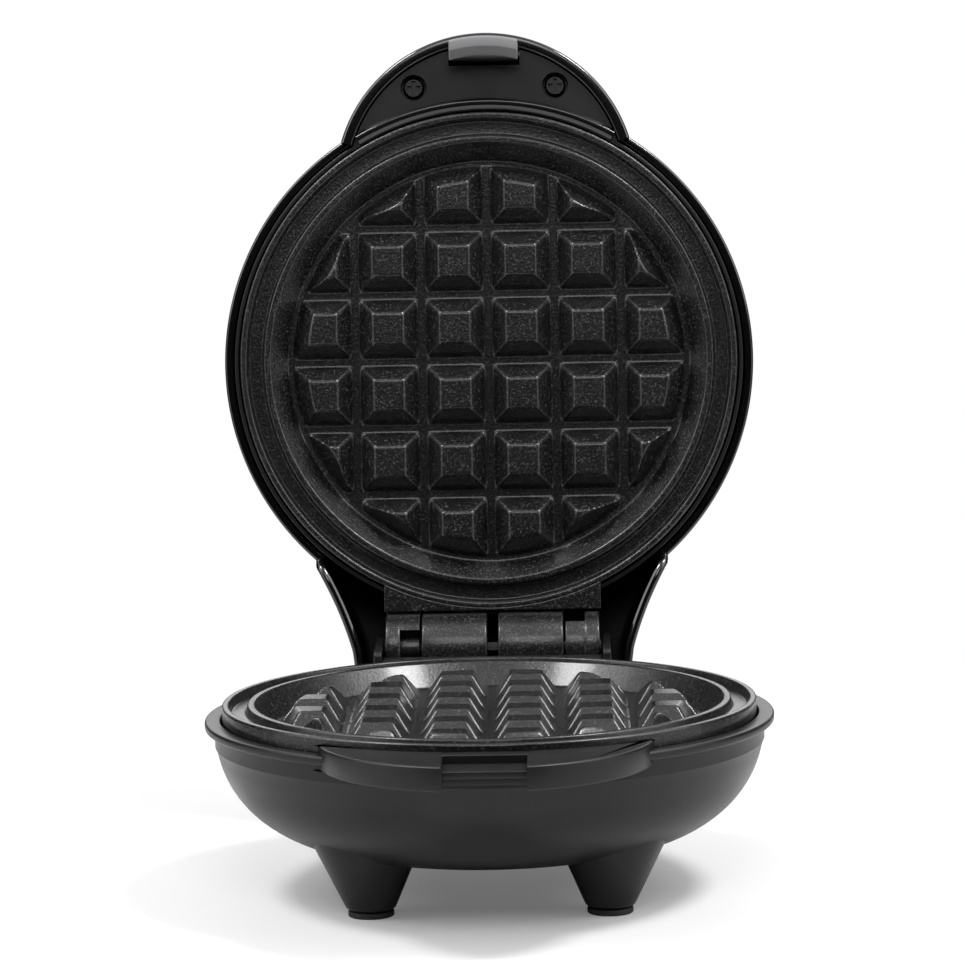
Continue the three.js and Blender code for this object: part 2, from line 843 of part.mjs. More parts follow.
// Two-pole connector on the floor of the bowl
function terminalBlock() {
  const low = -bowl.bottomDrop + bowl.wall + gap;
  const top = low + block.height;
  const body = brick(-block.width / 2, block.width / 2, block.reach - block.depth / 2,
    block.reach + block.depth / 2, low, top);
  const wells = [-1, 1].map((side) => slimColumn(side * block.postSpacing / 2, block.reach,
    top - block.postDepth, top + overrun, block.postRadius));
  return cut(body, ...wells);
}

// Bush that lines the cord's hole in the back of the bowl
function cordGland() {
  const bush = barAlongY(0, glandInner, glandOuter + gap + gland.collarLength, -gland.drop,
    gland.boreRadius - gap);
  const collar = barAlongY(0, glandOuter + gap, glandOuter + gap + gland.collarLength, -gland.drop,
    gland.collarRadius);
  const way = barAlongY(0, glandInner - overrun, glandOuter + 2 * overrun, -gland.drop,
    gland.cordRadius);
  return cut(joined(bush, collar), way);
}

// Lid cover: dome, half-moon handle and hinge tail, each drawn solid and then hollowed by its wall
function domeSolid(inset) {
  const radius = shellRadius - inset;
  const low = inset > 0 ? -overrun : cover.rise;
  return revolved([
    [0, low],
    [radius, low],
    [radius, cover.rise + cover.edge],
    ...curvePoints([radius, cover.rise + cover.edge], [radius - cover.shoulderIn, cover.shoulderRise],
      [shellRadius - cover.crownInset, domeHeight - inset], [0, domeHeight - inset],
      cover.curveSteps, true),
  ], wideFacets);
}

function handleSolid(inset, topInset) {
  const radius = handle.radius - inset;
  const low = inset > 0 ? -overrun : handle.bottom;
  return revolved([
    [0, low],
    [radius, low],
    [radius, handle.sideTop],
    ...curvePoints([radius, handle.sideTop], [radius, handle.crown - topInset],
      [handle.radius - handle.crownInset, handle.crown - topInset], [0, handle.crown - topInset],
      handle.curveSteps, true),
  ], wideFacets, [0, -handleReach]);
}

function tailOutline(inset) {
  const shape = new THREE.Shape();
  const root = tail.rootHalfWidth - inset;
  const waist = tail.waistHalfWidth - inset;
  const end = tail.endHalfWidth - inset;
  const far = hingeReach + tail.endBehind - inset;
  const rootReach = hingeReach - tail.rootSetback;
  const waistReach = hingeReach + tail.waistBehind;
  const corner = tail.cornerRadius - inset;
  shape.moveTo(-root, rootReach / 2);
  shape.lineTo(-root, rootReach);
  const bendX = waist + (root - waist) * tail.bendShare;
  const bendY = (rootReach + waistReach) / 2;
  shape.quadraticCurveTo(-bendX, bendY, -waist, waistReach);
  shape.lineTo(-end, far - corner);
  shape.quadraticCurveTo(-end, far, -end + corner, far);
  shape.lineTo(end - corner, far);
  shape.quadraticCurveTo(end, far, end, far - corner);
  shape.lineTo(waist, waistReach);
  shape.quadraticCurveTo(bendX, bendY, root, rootReach);
  shape.lineTo(root, rootReach / 2);
  shape.closePath();
  return shape;
}

function tailSolid(inset) {
  const low = inset > 0 ? -overrun : tail.bottom;
  const block = upright(tailOutline(inset), low, rimHeight, tail.curveSteps);
  const roof = axle(-shellRadius, shellRadius, hingeReach - tail.roofSetback, -tail.roofCentreDrop,
    tail.roofRadius - inset, wideFacets);
  return block.intersect(roof);
}

// The two places of the handle's screws: clear of the plate, and beside the rim of the half-moon
function handleScrewPlaces() {
  const fromCentre = moonRadius - handleScrew.recessRadius - handleScrew.rimClearance;
  const across = Math.sqrt(fromCentre ** 2 - (handleScrewReach - handleReach) ** 2);
  return [-1, 1].map((side) => [side * across, -handleScrewReach]);
}

function lidCover() {
  const outside = joined(domeSolid(0), handleSolid(0, 0), tailSolid(0));
  const inside = joined(domeSolid(cover.wall), handleSolid(handle.wall, cover.wall), tailSolid(tail.wall));
  const shell = cut(outside, inside);
  const bossLow = frame.crescentBottom + handleScrew.recessDepth + frame.crescent + gap;
  const screwBosses = handleScrewPlaces().map(([x, y]) => (
    slimColumn(x, y, bossLow, handle.crown, handleScrew.bossRadius)));
  const lugs = [-1, 1].map((side) => latchLug(side));
  const underSkin = joined(...screwBosses, ...lugs).intersect(joined(domeSolid(0), handleSolid(0, 0)));
  const boreTop = frame.crescentBottom + handleScrew.recessDepth + handleScrew.length + gap;
  const screwBores = handleScrewPlaces().map(([x, y]) => (
    slimColumn(x, y, 0, boreTop, handleScrew.bossBore)));
  const half = latch.width / 2 + latch.sideGap;
  const skinned = handle.radius - latch.skin;
  const pocket = brick(-half, half, -handleTip, -handleTip + latch.slotInset, -overrun, latch.pocketTop)
    .intersect(column(0, -handleReach, -overrun, latch.pocketTop, skinned, skinned, 2 * wideFacets));
  const pinHole = axle(-half - latch.lugWidth, half + latch.lugWidth, -latchPivot, latch.pivotRise,
    latch.pinBore, smallFacets);
  const lensHole = column(0, -lampReach, 0, domeHeight + overrun, lamp.lensHole);
  return cut(joined(shell, underSkin), ...screwBores, pocket, pinHole, lensHole);
}

// Ear inside the handle that holds one end of the latch's pin
function latchLug(side) {
  const inner = latch.width / 2 + latch.sideGap;
  const outer = inner + latch.lugWidth;
  const [left, right] = side > 0 ? [inner, outer] : [-outer, -inner];
  return joined(
    axle(left, right, -latchPivot, latch.pivotRise, latch.lugRadius, smallFacets),
    brick(left, right, -latchPivot - latch.lugRadius, -latchPivot + latch.lugRadius,
      latch.pivotRise, handle.crown));
}

// Satin frame inside the lid: a ring round the plate, a floor that the plate is screwed to, and the
// crescent that closes the handle
function lidFrame() {
  const inner = plateRadius + plateGap;
  const outer = inner + frameRing;
  const floorRadius = plateRadius - frame.floorInset;
  const beadRadius = inner + frame.beadSetback;
  const ring = revolved([
    [inner, frame.ringBottom],
    [outer, frame.ringBottom],
    [outer, frame.ringTop],
    [floorRadius + frame.wall, frameTop],
    [frame.centreHole, frameTop],
    [frame.centreHole, frame.floorRise],
    [floorRadius, frame.floorRise],
    [inner, frame.ringTop],
    [inner, frame.ringBottom],
  ], wideFacets);
  const bottom = frame.crescentBottom;
  const moon = drum(0, -handleReach, bottom, bottom + frame.crescent, moonRadius);
  const bead = revolved([
    [beadRadius, bottom - frame.beadHeight],
    [beadRadius + frame.beadWidth / 2, bottom - frame.beadHeight],
    [beadRadius + frame.beadWidth, bottom + frame.crescent],
    [inner, bottom + frame.crescent],
    [inner, bottom],
    [beadRadius, bottom - frame.beadHeight],
  ], wideFacets).intersect(drum(0, -handleReach, -overrun, overrun, moonRadius));
  const cupTop = bottom + handleScrew.recessDepth + frame.crescent;
  const cups = handleScrewPlaces().map(([x, y]) => column(x, y, bottom, cupTop, handleScrew.cupRadius));
  const trimmedCups = joined(...cups).intersect(drum(0, -handleReach, bottom, cupTop, moonRadius));
  const crescent = joined(moon, bead, trimmedCups);
  const clear = drum(0, 0, -overrun, cupTop + overrun, inner);
  const half = latch.width / 2 + latch.sideGap;
  const slot = brick(-half, half, -handleTip, -handleTip + latch.slotInset, -overrun, frame.ringTop);
  const recessTop = bottom + handleScrew.recessDepth;
  const recesses = handleScrewPlaces().map(([x, y]) => joined(
    column(x, y, -overrun, recessTop, handleScrew.recessRadius),
    slimColumn(x, y, -overrun, frame.floorRise, handleScrew.hole)));
  const postHoles = postPlaces().map(([x, y]) => slimColumn(-x, y, 0, domeHeight, plateScrew.hole));
  const hingeGate = brick(-hinge.tabHalfWidth - 2 * gap, hinge.tabHalfWidth + 2 * gap, plateRadius / 2,
    hingeReach, -overrun, plate.backDepth + 2 * gap);
  const endHoles = elementEnds().map(([x, y]) => column(x, y, 0, domeHeight, reflector.legHole));
  const lampHole = slimColumn(0, -lampReach, 0, domeHeight, lamp.lensRadius + gap);
  const whole = joined(ring, cut(crescent, clear));
  return cut(whole, slot, ...recesses, ...postHoles, ...endHoles, lampHole, hingeGate);
}

// Cross-head screw of the handle, its head sunk in the crescent
function handleScrewBody(x, y) {
  const seat = frame.crescentBottom + handleScrew.recessDepth - gap;
  const low = seat - handleScrew.head;
  const arm = handleScrew.driveRadius;
  const slot = arm * driveSlotShare;
  const driveTop = low + handleScrew.head / 2;
  const drive = joined(
    brick(x - arm, x + arm, y - slot, y + slot, low - overrun, driveTop),
    brick(x - slot, x + slot, y - arm, y + arm, low - overrun, driveTop));
  return cut(joined(
    column(x, y, low, seat, handleScrew.faceRadius, handleScrew.headRadius),
    slimColumn(x, y, driveTop, seat + handleScrew.length, handleScrew.shankRadius)), drive);
}

// Latch clip: a tab on a barrel, with the nib that hooks under the base's ledge
function latchClip() {
  const outer = handleTip - latch.inset;
  const inner = outer - latch.thickness;
  const nib = -handleTip + latch.nibInset;
  const half = latch.width / 2;
  const side = polygon([
    [-outer, -latch.bottom],
    [-inner, -latch.bottom],
    [nib, -latch.nibTop - latch.nibTip],
    [nib, -latch.nibTop],
    [-inner, -latch.nibTop],
    [-inner, latch.top],
    [-outer, latch.top],
  ]);
  const round = (radius, from) => column(0, -handleReach, from, latch.top + overrun, radius, radius,
    2 * wideFacets);
  const face = handle.radius - latch.inset;
  const behindSkin = cut(round(face + overrun, latch.reliefFrom),
    round(face - latch.relief, latch.reliefFrom));
  const tab = cut(crosswise(side, -half, half).intersect(round(face, -latch.bottom - overrun)), behindSkin);
  const barrel = axle(-half, half, -latchPivot, latch.pivotRise, latch.barrel);
  const bore = axle(-half - overrun, half + overrun, -latchPivot, latch.pivotRise, latch.pinBore,
    smallFacets);
  return cut(joined(tab, barrel), bore);
}

function latchPin() {
  const end = latch.width / 2 + latch.sideGap + latch.lugWidth - gap;
  return axle(-end, end, -latchPivot, latch.pivotRise, latch.pinRadius, smallFacets);
}

// Height of the dome's outside at a distance from its axis
function domeTopAt(radius) {
  const profile = curvePoints([shellRadius, cover.rise + cover.edge],
    [shellRadius - cover.shoulderIn, cover.shoulderRise], [shellRadius - cover.crownInset, domeHeight],
    [0, domeHeight], cover.searchSteps);
  const after = profile.findIndex(([r]) => r <= radius);
  return profile[after][1];
}

// Round window of the indicator, its collar under the dome's wall
function indicatorLens() {
  const top = domeTopAt(lampReach) + lamp.proud;
  const collarTop = domeTopAt(lampReach + lamp.lensCollar) - cover.wall - gap;
  const low = collarTop - lamp.skirt;
  const body = joined(
    column(0, -lampReach, low, top, lamp.lensRadius),
    column(0, -lampReach, collarTop - lamp.collar, collarTop, lamp.lensCollar));
  const socket = column(0, -lampReach, low - overrun, collarTop - lamp.collar, lamp.socketRadius);
  return cut(body, socket);
}

function indicatorLamp() {
  const collarTop = domeTopAt(lampReach + lamp.lensCollar) - cover.wall - gap;
  const top = collarTop - lamp.collar - gap;
  const low = posts.end + gap + reflector.thickness + lamp.shieldClearance;
  const tipRadius = lamp.bulbRadius * lamp.tipShare;
  return column(0, -lampReach, low, top, lamp.bulbRadius, tipRadius, smallFacets);
}

// Finishes
const finishes = {
  satinBlack: { color: 0x2b2b2d, roughness: 0.42, metalness: 0 },
  glossBlack: { color: 0x0c0c0d, roughness: 0.14, metalness: 0 },
  nonStick: { color: 0x1d1d1f, roughness: 0.5, metalness: 0.2 },
  sheath: { color: 0x4a4f4c, roughness: 0.5, metalness: 0.8 },
  brightSteel: { color: 0xb9bcc0, roughness: 0.3, metalness: 1 },
  blackSteel: { color: 0x1c1c1e, roughness: 0.4, metalness: 0.8 },
  greyPlastic: { color: 0x8b8e91, roughness: 0.4, metalness: 0 },
  rubber: { color: 0x161617, roughness: 0.85, metalness: 0 },
  ceramic: { color: 0xe8e4da, roughness: 0.6, metalness: 0 },
  amberLens: { color: 0xb4471a, roughness: 0.15, metalness: 0 },
  glass: { color: 0xdfe6e4, roughness: 0.05, metalness: 0 },
};

function named(name, body, finish) {
  const shape = body.getMesh();
  const geometry = new THREE.BufferGeometry();
  geometry.setAttribute('position', new THREE.BufferAttribute(new Float32Array(shape.vertProperties), 3));
  geometry.setIndex(new THREE.BufferAttribute(new Uint32Array(shape.triVerts), 1));
  geometry.computeVertexNormals();
  const mesh = new THREE.Mesh(geometry, new THREE.MeshStandardMaterial(finishes[finish]));
  mesh.name = name;
  return mesh;
}

// Turned half round about Y, a lower piece becomes its twin in the lid
function facingDown(meshes) {
  const turned = new THREE.Group();
  turned.rotation.y = Math.PI;
  turned.add(...meshes);
  return turned;
}

function baseGroup() {
  const group = new THREE.Group();
  group.add(
    named('base_shell', baseShell(), 'satinBlack'),
    named('lower_plate', wafflePlate(), 'nonStick'),
    named('lower_element', heatingElement(), 'sheath'),
    named('lower_heat_shield', heatShield(), 'brightSteel'),
    named('thermostat', thermostatBody(), 'ceramic'),
    named('thermostat_strap', strapBody(), 'brightSteel'),
    named('thermal_fuse', thermalFuse(), 'brightSteel'),
    named('terminal_block', terminalBlock(), 'ceramic'),
    named('cord_gland', cordGland(), 'rubber'),
    named('hinge_pin', hingePin(), 'brightSteel'));
  legPlaces().forEach((place, i) => group.add(named(`foot_pad_${i + 1}`, footPad(place), 'rubber')));
  clipPlaces().forEach(([x, y], i) => {
    group.add(named(`strap_screw_${i + 1}`, strapScrewBody(x, y), 'brightSteel'));
  });
  postPlaces().forEach(([x, y], i) => {
    const screw = plateScrewBody(x, y, -boss.seat, -posts.boreTop - 2 * gap);
    group.add(named(`base_screw_${i + 1}`, screw, 'brightSteel'));
  });
  return group;
}

function lidGroup() {
  const closed = new THREE.Group();
  closed.add(
    named('lid_cover', lidCover(), 'glossBlack'),
    named('lid_frame', lidFrame(), 'satinBlack'),
    named('latch_pin', latchPin(), 'brightSteel'),
    named('latch_clip', latchClip(), 'greyPlastic'),
    named('indicator_lens', indicatorLens(), 'amberLens'),
    named('indicator_lamp', indicatorLamp(), 'glass'),
    facingDown([
      named('upper_plate', wafflePlate(), 'nonStick'),
      named('upper_element', heatingElement(), 'sheath'),
      named('upper_heat_shield', heatShield(), 'brightSteel'),
    ]));
  handleScrewPlaces().forEach(([x, y], i) => {
    closed.add(named(`handle_screw_${i + 1}`, handleScrewBody(x, y), 'blackSteel'));
  });
  postPlaces().forEach(([x, y], i) => {
    const screw = plateScrewBody(-x, y, frameTop, posts.boreTop + 2 * gap);
    closed.add(named(`frame_screw_${i + 1}`, screw, 'brightSteel'));
  });
  closed.position.y = -hingeReach;
  const swung = new THREE.Group();
  swung.add(closed);
  swung.rotation.x = -THREE.MathUtils.degToRad(openAngle);
  swung.position.y = hingeReach;
  return swung;
}

// The origin lies on the ground, under the middle of the part's box
const product = new THREE.Group();
product.add(baseGroup(), lidGroup());
product.updateMatrixWorld(true);
const extent = new THREE.Box3().setFromObject(product, true);
const middle = extent.getCenter(new THREE.Vector3());
product.position.set(-middle.x, -middle.y, -extent.min.z);

export default new THREE.Group().add(product);
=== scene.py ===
"""Looks of the mini waffle maker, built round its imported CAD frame.

Millimetres are used while drawing. The drawing frame is the closed waffle maker: z = 0 on the parting plane
between the plates, the handle towards -Y and the hinge towards +Y. Pieces of the lid are drawn closed and are
then swung open about the hinge, as the CAD part is.
"""

import json
import math

import bpy
import numpy as np
from bpy.props import FloatProperty, FloatVectorProperty, IntProperty, PointerProperty
from bpy.types import Operator, Panel, PropertyGroup
from mathutils import Matrix, Vector
from mathutils.geometry import tessellate_polygon


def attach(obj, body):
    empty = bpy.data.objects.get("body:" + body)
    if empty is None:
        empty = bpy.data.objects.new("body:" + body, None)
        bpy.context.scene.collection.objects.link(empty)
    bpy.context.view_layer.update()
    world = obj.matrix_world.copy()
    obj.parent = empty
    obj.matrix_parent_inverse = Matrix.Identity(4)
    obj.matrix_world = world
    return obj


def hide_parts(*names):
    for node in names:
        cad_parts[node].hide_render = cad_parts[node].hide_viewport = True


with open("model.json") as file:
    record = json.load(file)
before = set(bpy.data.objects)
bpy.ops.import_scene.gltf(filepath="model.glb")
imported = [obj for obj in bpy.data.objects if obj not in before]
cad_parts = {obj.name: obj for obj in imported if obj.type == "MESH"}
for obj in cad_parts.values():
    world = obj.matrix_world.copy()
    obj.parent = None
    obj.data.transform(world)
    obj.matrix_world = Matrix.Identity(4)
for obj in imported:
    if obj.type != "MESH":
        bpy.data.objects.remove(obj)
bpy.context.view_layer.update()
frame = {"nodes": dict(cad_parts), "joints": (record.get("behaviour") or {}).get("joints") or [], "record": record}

bl_info = {
    "name": "Waffle maker looks",
    "version": (1, 0, 0),
    "blender": (4, 5, 0),
    "location": "View3D > Sidebar > Waffle",
    "description": "Builds the visible pieces, finishes and stage of a mini waffle maker",
    "category": "Add Mesh",
}

MM = 0.001

# Width of the flat ring between a rounded edge and its end face
FLAT = 0.12

# Points nearer than this are joined, in metres, and edges over this angle stay sharp
WELD = 2e-6
SHARP = math.radians(35)

# Radius that stands for the axis in a turned profile
AXIS = 0.01

# Facets round a large turned shape, and round a screw's hole
ROUND = 320
HOLE = 40

# Gaps between the plate and its frame and between the handle's wall and the frame
PLATE_GAP = 0.4
FRAME_GAP = 0.35

# Bowl: its wall, the depth where the curve inside starts, the depth and the radius of the handles that shape
# the curve of its side, and the radius of its flat bottom
BOWL_WALL = 2.2
INSIDE_START = 8.6
BOWL_STEEP, BOWL_ROUND, BOWL_FLAT = 20.5, 49, 28

# Dome: height of its straight skirt, and the height and the radius of the handles that shape its curve; for
# the half-moon handle only the radius, since its side is upright at the start
SKIRT = 1.6
DOME_STEEP, DOME_ROUND = 18, 43
HANDLE_ROUND = 22

# Distance and height of the latch's pin
LATCH_PIN = (-74.2, 6.4)

# Hinge tail: where it leaves the dome, where its sides turn straight, where its end turns in; its half widths
# at the first two and at the handle of the curve between them; what it loses from there to its full length;
# the radius of the turn at its end, and the circle (y, z, radius) of its roof
TAIL_ROOT, TAIL_WAIST, TAIL_TURN = 49, 69.5, 78.8
TAIL_WIDE, TAIL_BEND, TAIL_NARROW = 42.2, 36.4, 33.6
TAIL_LENGTH, TAIL_TAPER = 14.3, 1.8
TAIL_CORNER = 5
TAIL_ROOF = (58, -14, 32)

# Axes that an outline's two directions and its height go to, for a prism that lies along X
ALONG_X = (1, 2, 0)

# Painted shade: the hinge pin, in the narrow gap between the barrels, takes black steel instead of its slot's
# finish
PAINTED_SHADE = {"hinge_pin": "black_steel"}

# Start of the name of every material made here
LOOK = "look_"


# Settings

def size(description, default):
    """A length in millimetres, or whatever else its description says."""
    return FloatProperty(description=description, default=default)


class PlateSettings(PropertyGroup):
    """Sizes of one waffle plate casting, in millimetres."""
    rim_radius: size("Outer radius of the rim", 59.6)
    rim_top: size("Depth of the rim below the parting plane", 0.25)
    rim_width: size("Width of the outer rim", 1.5)
    groove_depth: size("Depth of the overflow groove", 2.4)
    groove_width: size("Width of the overflow groove", 4.3)
    ring_width: size("Width of the inner ring", 1.4)
    wall_run: size("Run of the sloping wall", 4.1)
    floor_depth: size("Depth of the valleys", 5.6)
    skirt: size("Depth of the rim's outer side", 6.0)
    pitch: size("Distance between the raised squares", 16.0)
    columns: IntProperty(description="Raised squares in the longest row", default=6)
    top_width: size("Width of a square's flat top", 7.3)
    top_depth: size("Depth of a square's top", 0.75)
    side_run: size("Run of a square's sloping side", 3.25)
    clip_radius: size("Radius that trims the grid at its top", 43.3)
    clip_run: size("Run of the cone that trims the grid", 3.6)
    edge: size("Rounding of the cast edges", 0.6)
    field_lines: IntProperty(description="Grid lines across the squares", default=290)


class HingeSettings(PropertyGroup):
    """Sizes of the hinge knuckles that both castings carry, in millimetres."""
    reach: size("Distance of the hinge axis from the bowl's axis", 69.2)
    radius: size("Radius of barrels and lugs", 8.6)
    barrel_inner: size("Inner end of a barrel", 1.3)
    barrel_outer: size("Outer end of a barrel", 16.85)
    lug_inner: size("Inner end of a lug", 17.3)
    lug_outer: size("Outer end of a lug", 25.5)
    tab_half: size("Half width of the tab", 25.9)
    tab_depth: size("Thickness of the tab", 4.4)
    notch_width: size("Width of the stop notch", 4.6)
    notch_from: size("Start angle of the notch, degrees", 58.0)
    core: size("Radius left inside the notch", 5.0)
    tooth: size("Angle that the stop tooth takes, degrees", 20.0)
    opening: size("Angle that the lid stands open, degrees", 98.0)


class BaseSettings(PropertyGroup):
    """Sizes of the base shell, in millimetres."""
    flange_radius: size("Radius of the rim flange", 63.5)
    flange_drop: size("Depth of the flange's top", 3.6)
    flange_thickness: size("Thickness of the flange", 2.0)
    mouth: size("Radius of the bowl's mouth", 60.0)
    bottom: size("Depth of the bowl's flat bottom", 32.6)
    well: size("Depth of the cut behind the plate for the hinge", 9.4)
    ground: size("Depth of the ground under the parting plane", 43.5)
    lip_top: size("Depth of the front lip's top", 1.75)
    lip_height: size("Height of the front lip", 5.3)
    notch_width: size("Width of the lip's notch", 17.7)
    notch_floor: size("Distance of the notch's floor", 73.1)
    ledge: size("Thickness of the ledge under the notch", 1.6)
    lip_foot: size("Depth of the cut under the ledge", 3.0)
    screw_circle: size("Distance of the bottom's screws", 26.0)
    screw_recess: size("Radius of a screw's recess", 3.3)
    screw_seat: size("Depth of the recess's end", 22.0)
    gland_drop: size("Depth of the cord's bush", 24.0)
    gland_radius: size("Radius of the boss round the bush", 6.6)
    gland_bore: size("Radius of the boss's bore", 4.6)
    cradle: size("Outer radius of the hinge cradle", 11.2)
    cheek: size("Thickness of a cradle cheek", 1.9)
    cradle_half: size("Half width of the cradle", 28.0)
    pad_radius: size("Radius of a foot pad", 5.05)
    pad_height: size("Thickness of a foot pad", 1.3)


class LidSettings(PropertyGroup):
    """Sizes of the lid, in millimetres."""
    radius: size("Radius of the dome's skirt", 63.5)
    rise: size("Height of the skirt's edge", 3.6)
    height: size("Height of the dome", 27.3)
    wall: size("Wall of the dome", 2.0)
    handle_radius: size("Radius of the handle's half-moon", 36.2)
    handle_reach: size("Distance of the half-moon's centre", 42.6)
    handle_wall: size("Side wall of the handle", 2.8)
    handle_bottom: size("Height of the handle's lower edge", 1.0)
    handle_height: size("Height of the handle", 20.5)
    handle_side: size("Height where the handle's side starts to curve", 9.5)
    crescent: size("Height of the crescent's face", 2.0)
    screw_half: size("Half the distance between the handle screws", 17.0)
    screw_reach: size("Distance of the handle screws", 65.8)
    screw_recess: size("Radius of a handle screw's recess", 3.15)
    slot_floor: size("Distance of the latch slot's floor", 70.9)
    latch_width: size("Width of the latch clip", 16.4)
    tail_wall: size("Wall of the hinge tail", 1.9)


class StageSettings(PropertyGroup):
    """Camera and lamps."""
    distance: FloatProperty(description="Camera to bowl", default=0.9715, subtype="DISTANCE", unit="LENGTH")
    azimuth: size("Turn of the camera round the product, degrees", 1.017)
    elevation: size("Height angle of the camera, degrees", 9.43)
    pitch: size("Downward tilt of the view, degrees", 6.612)
    yaw: size("Turn of the view, degrees", -0.033)
    roll: size("Roll of the view, degrees", -1.079)
    focal: size("Focal length in widths of the image", 4.5039)
    fill: size("Strength of the room's fill light", 0.35)
    floor_radius: FloatProperty(description="Radius of the paper floor", default=0.34, subtype="DISTANCE",
                                unit="LENGTH")
    glow: size("White that the camera adds to the floor", 0.14)
    floor: FloatVectorProperty(description="Colour of the floor", default=(0.82, 0.82, 0.82),
                               subtype="COLOR")


# Drawing helpers

def to_base(points):
    """Drawing frame to the row frame, in metres: a shift that puts the hinge axis on its joint."""
    pivot = np.array(next(j["pos_m"] for j in frame["joints"] if j["name"] == "lid_hinge"))
    reach = np.array([0.0, bpy.context.scene.waffle_hinge.reach, 0.0])
    return (np.asarray(points, float) - reach) * MM + pivot


def to_lid(points):
    """Drawing frame to the row frame for the lid: turned about the hinge axis by minus the opening angle."""
    hinge = bpy.context.scene.waffle_hinge
    angle = math.radians(hinge.opening)
    moved = np.array(points, float)
    along = moved[..., 1] - hinge.reach
    up = moved[..., 2].copy()
    moved[..., 1] = hinge.reach + along * math.cos(angle) + up * math.sin(angle)
    moved[..., 2] = -along * math.sin(angle) + up * math.cos(angle)
    return to_base(moved)


def flipped(points):
    """Half a turn about the Y axis: a lower casting becomes its twin in the lid."""
    turned = np.array(points, float)
    turned[..., 0] *= -1
    turned[..., 2] *= -1
    return turned


def rounded(points, radii, steps=5, closed=False):
    """Polyline with each corner replaced by an arc tangent to both sides.

    The arc starts radius / tan(half the corner's angle) before the corner, and never past 45% of a side.
    """
    points = np.asarray(points, float)
    count = len(points)
    radii = np.broadcast_to(radii, count)
    made = []
    for i, (here, radius) in enumerate(zip(points, radii)):
        if radius <= 0 or (not closed and i in (0, count - 1)):
            made.append(here)
            continue
        before, after = points[i - 1] - here, points[(i + 1) % count] - here
        long_before, long_after = np.linalg.norm(before), np.linalg.norm(after)
        before, after = before / long_before, after / long_after
        half = math.acos(float(np.clip(before @ after, -1, 1))) / 2
        if half > math.radians(88) or half < math.radians(2):
            made.append(here)
            continue
        back = min(radius / math.tan(half), 0.45 * long_before, 0.45 * long_after)
        radius = back * math.tan(half)
        middle = here + (before + after) / np.linalg.norm(before + after) * radius / math.sin(half)
        start, end = here + before * back - middle, here + after * back - middle
        a0 = math.atan2(start[1], start[0])
        sweep = (math.atan2(end[1], end[0]) - a0 + math.pi) % (2 * math.pi) - math.pi
        angles = a0 + sweep * np.linspace(0, 1, steps + 1)
        made.extend(middle + radius * np.stack([np.cos(angles), np.sin(angles)], 1))
    return np.array(made)


def at_height(outline, height):
    """Outline as points in space at one height."""
    return np.concatenate([outline, np.full((len(outline), 1), height)], 1)


def span(half, radius):
    """Angle in degrees that a half width takes on a circle."""
    return math.degrees(math.asin(half / radius))


def quads_over(index):
    """Corners of the squares between neighbours in a table of point numbers."""
    return np.stack([index[:-1, :-1], index[1:, :-1], index[1:, 1:], index[:-1, 1:]], -1)


def bezier(a, b, c, d, steps):
    """Points of the cubic curve with end points a and d and handles b and c."""
    t = np.linspace(0, 1, steps + 1)[:, None]
    a, b, c, d = (np.asarray(p, float) for p in (a, b, c, d))
    return (1 - t) ** 3 * a + 3 * (1 - t) ** 2 * t * b + 3 * (1 - t) * t ** 2 * c + t ** 3 * d


class Surface:
    """Collects grids of points and flat faces, then makes one mesh object of them."""

    def __init__(self):
        self.points = []
        self.faces = []
        self.count = 0

    def add(self, points, faces):
        """Adds points, and faces given by the numbers of these points."""
        self.points.append(np.asarray(points, float).reshape(-1, 3))
        self.faces.extend([[i + self.count for i in face] for face in faces])
        self.count += len(self.points[-1])
        return self

    def grid(self, points, wrap_rows=False, wrap_columns=False):
        """Quads over a grid of points (rows, columns, 3), joined round either way on request."""
        rows, columns = points.shape[:2]
        index = np.arange(rows * columns).reshape(rows, columns)
        if wrap_rows:
            index = np.concatenate([index, index[:1]])
        if wrap_columns:
            index = np.concatenate([index, index[:, :1]], 1)
        return self.add(points, quads_over(index).reshape(-1, 4).tolist())

    def face(self, points):
        """One flat face round the points."""
        return self.add(points, [list(range(len(points)))])

    def flat(self, loops, height):
        """Level face inside the first loop and outside the others, cut into triangles."""
        loops = [at_height(loop, height) for loop in loops]
        triangles = tessellate_polygon([[Vector(point) for point in loop] for loop in loops])
        return self.add(np.concatenate(loops), [list(corners) for corners in triangles])

    def finish(self, name, place, body, slot, replaces=()):
        """Makes the object in its slot's finish, smooths it by angle and ties it to its body."""
        mesh = bpy.data.meshes.new(name)
        mesh.from_pydata(place(np.concatenate(self.points)).tolist(), [], self.faces)
        mesh.update()
        thing = bpy.data.objects.new(name, mesh)
        bpy.context.collection.objects.link(thing)
        tidy_mesh(thing)
        mesh.materials.append(finish_for(slot))
        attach(thing, body)
        if replaces:
            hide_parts(*replaces)
        return thing


def select_only(thing):
    """Makes a thing the active one and the only one selected."""
    bpy.ops.object.select_all(action="DESELECT")
    bpy.context.view_layer.objects.active = thing
    thing.select_set(True)


def tidy_mesh(thing):
    """Joins doubled points, points each shell's faces outwards and marks the sharp edges."""
    select_only(thing)
    bpy.ops.object.mode_set(mode="EDIT")
    bpy.ops.mesh.select_all(action="SELECT")
    bpy.ops.mesh.remove_doubles(threshold=WELD)
    bpy.ops.mesh.normals_make_consistent(inside=False)
    bpy.ops.object.mode_set(mode="OBJECT")
    bpy.ops.object.shade_smooth_by_angle(angle=SHARP)


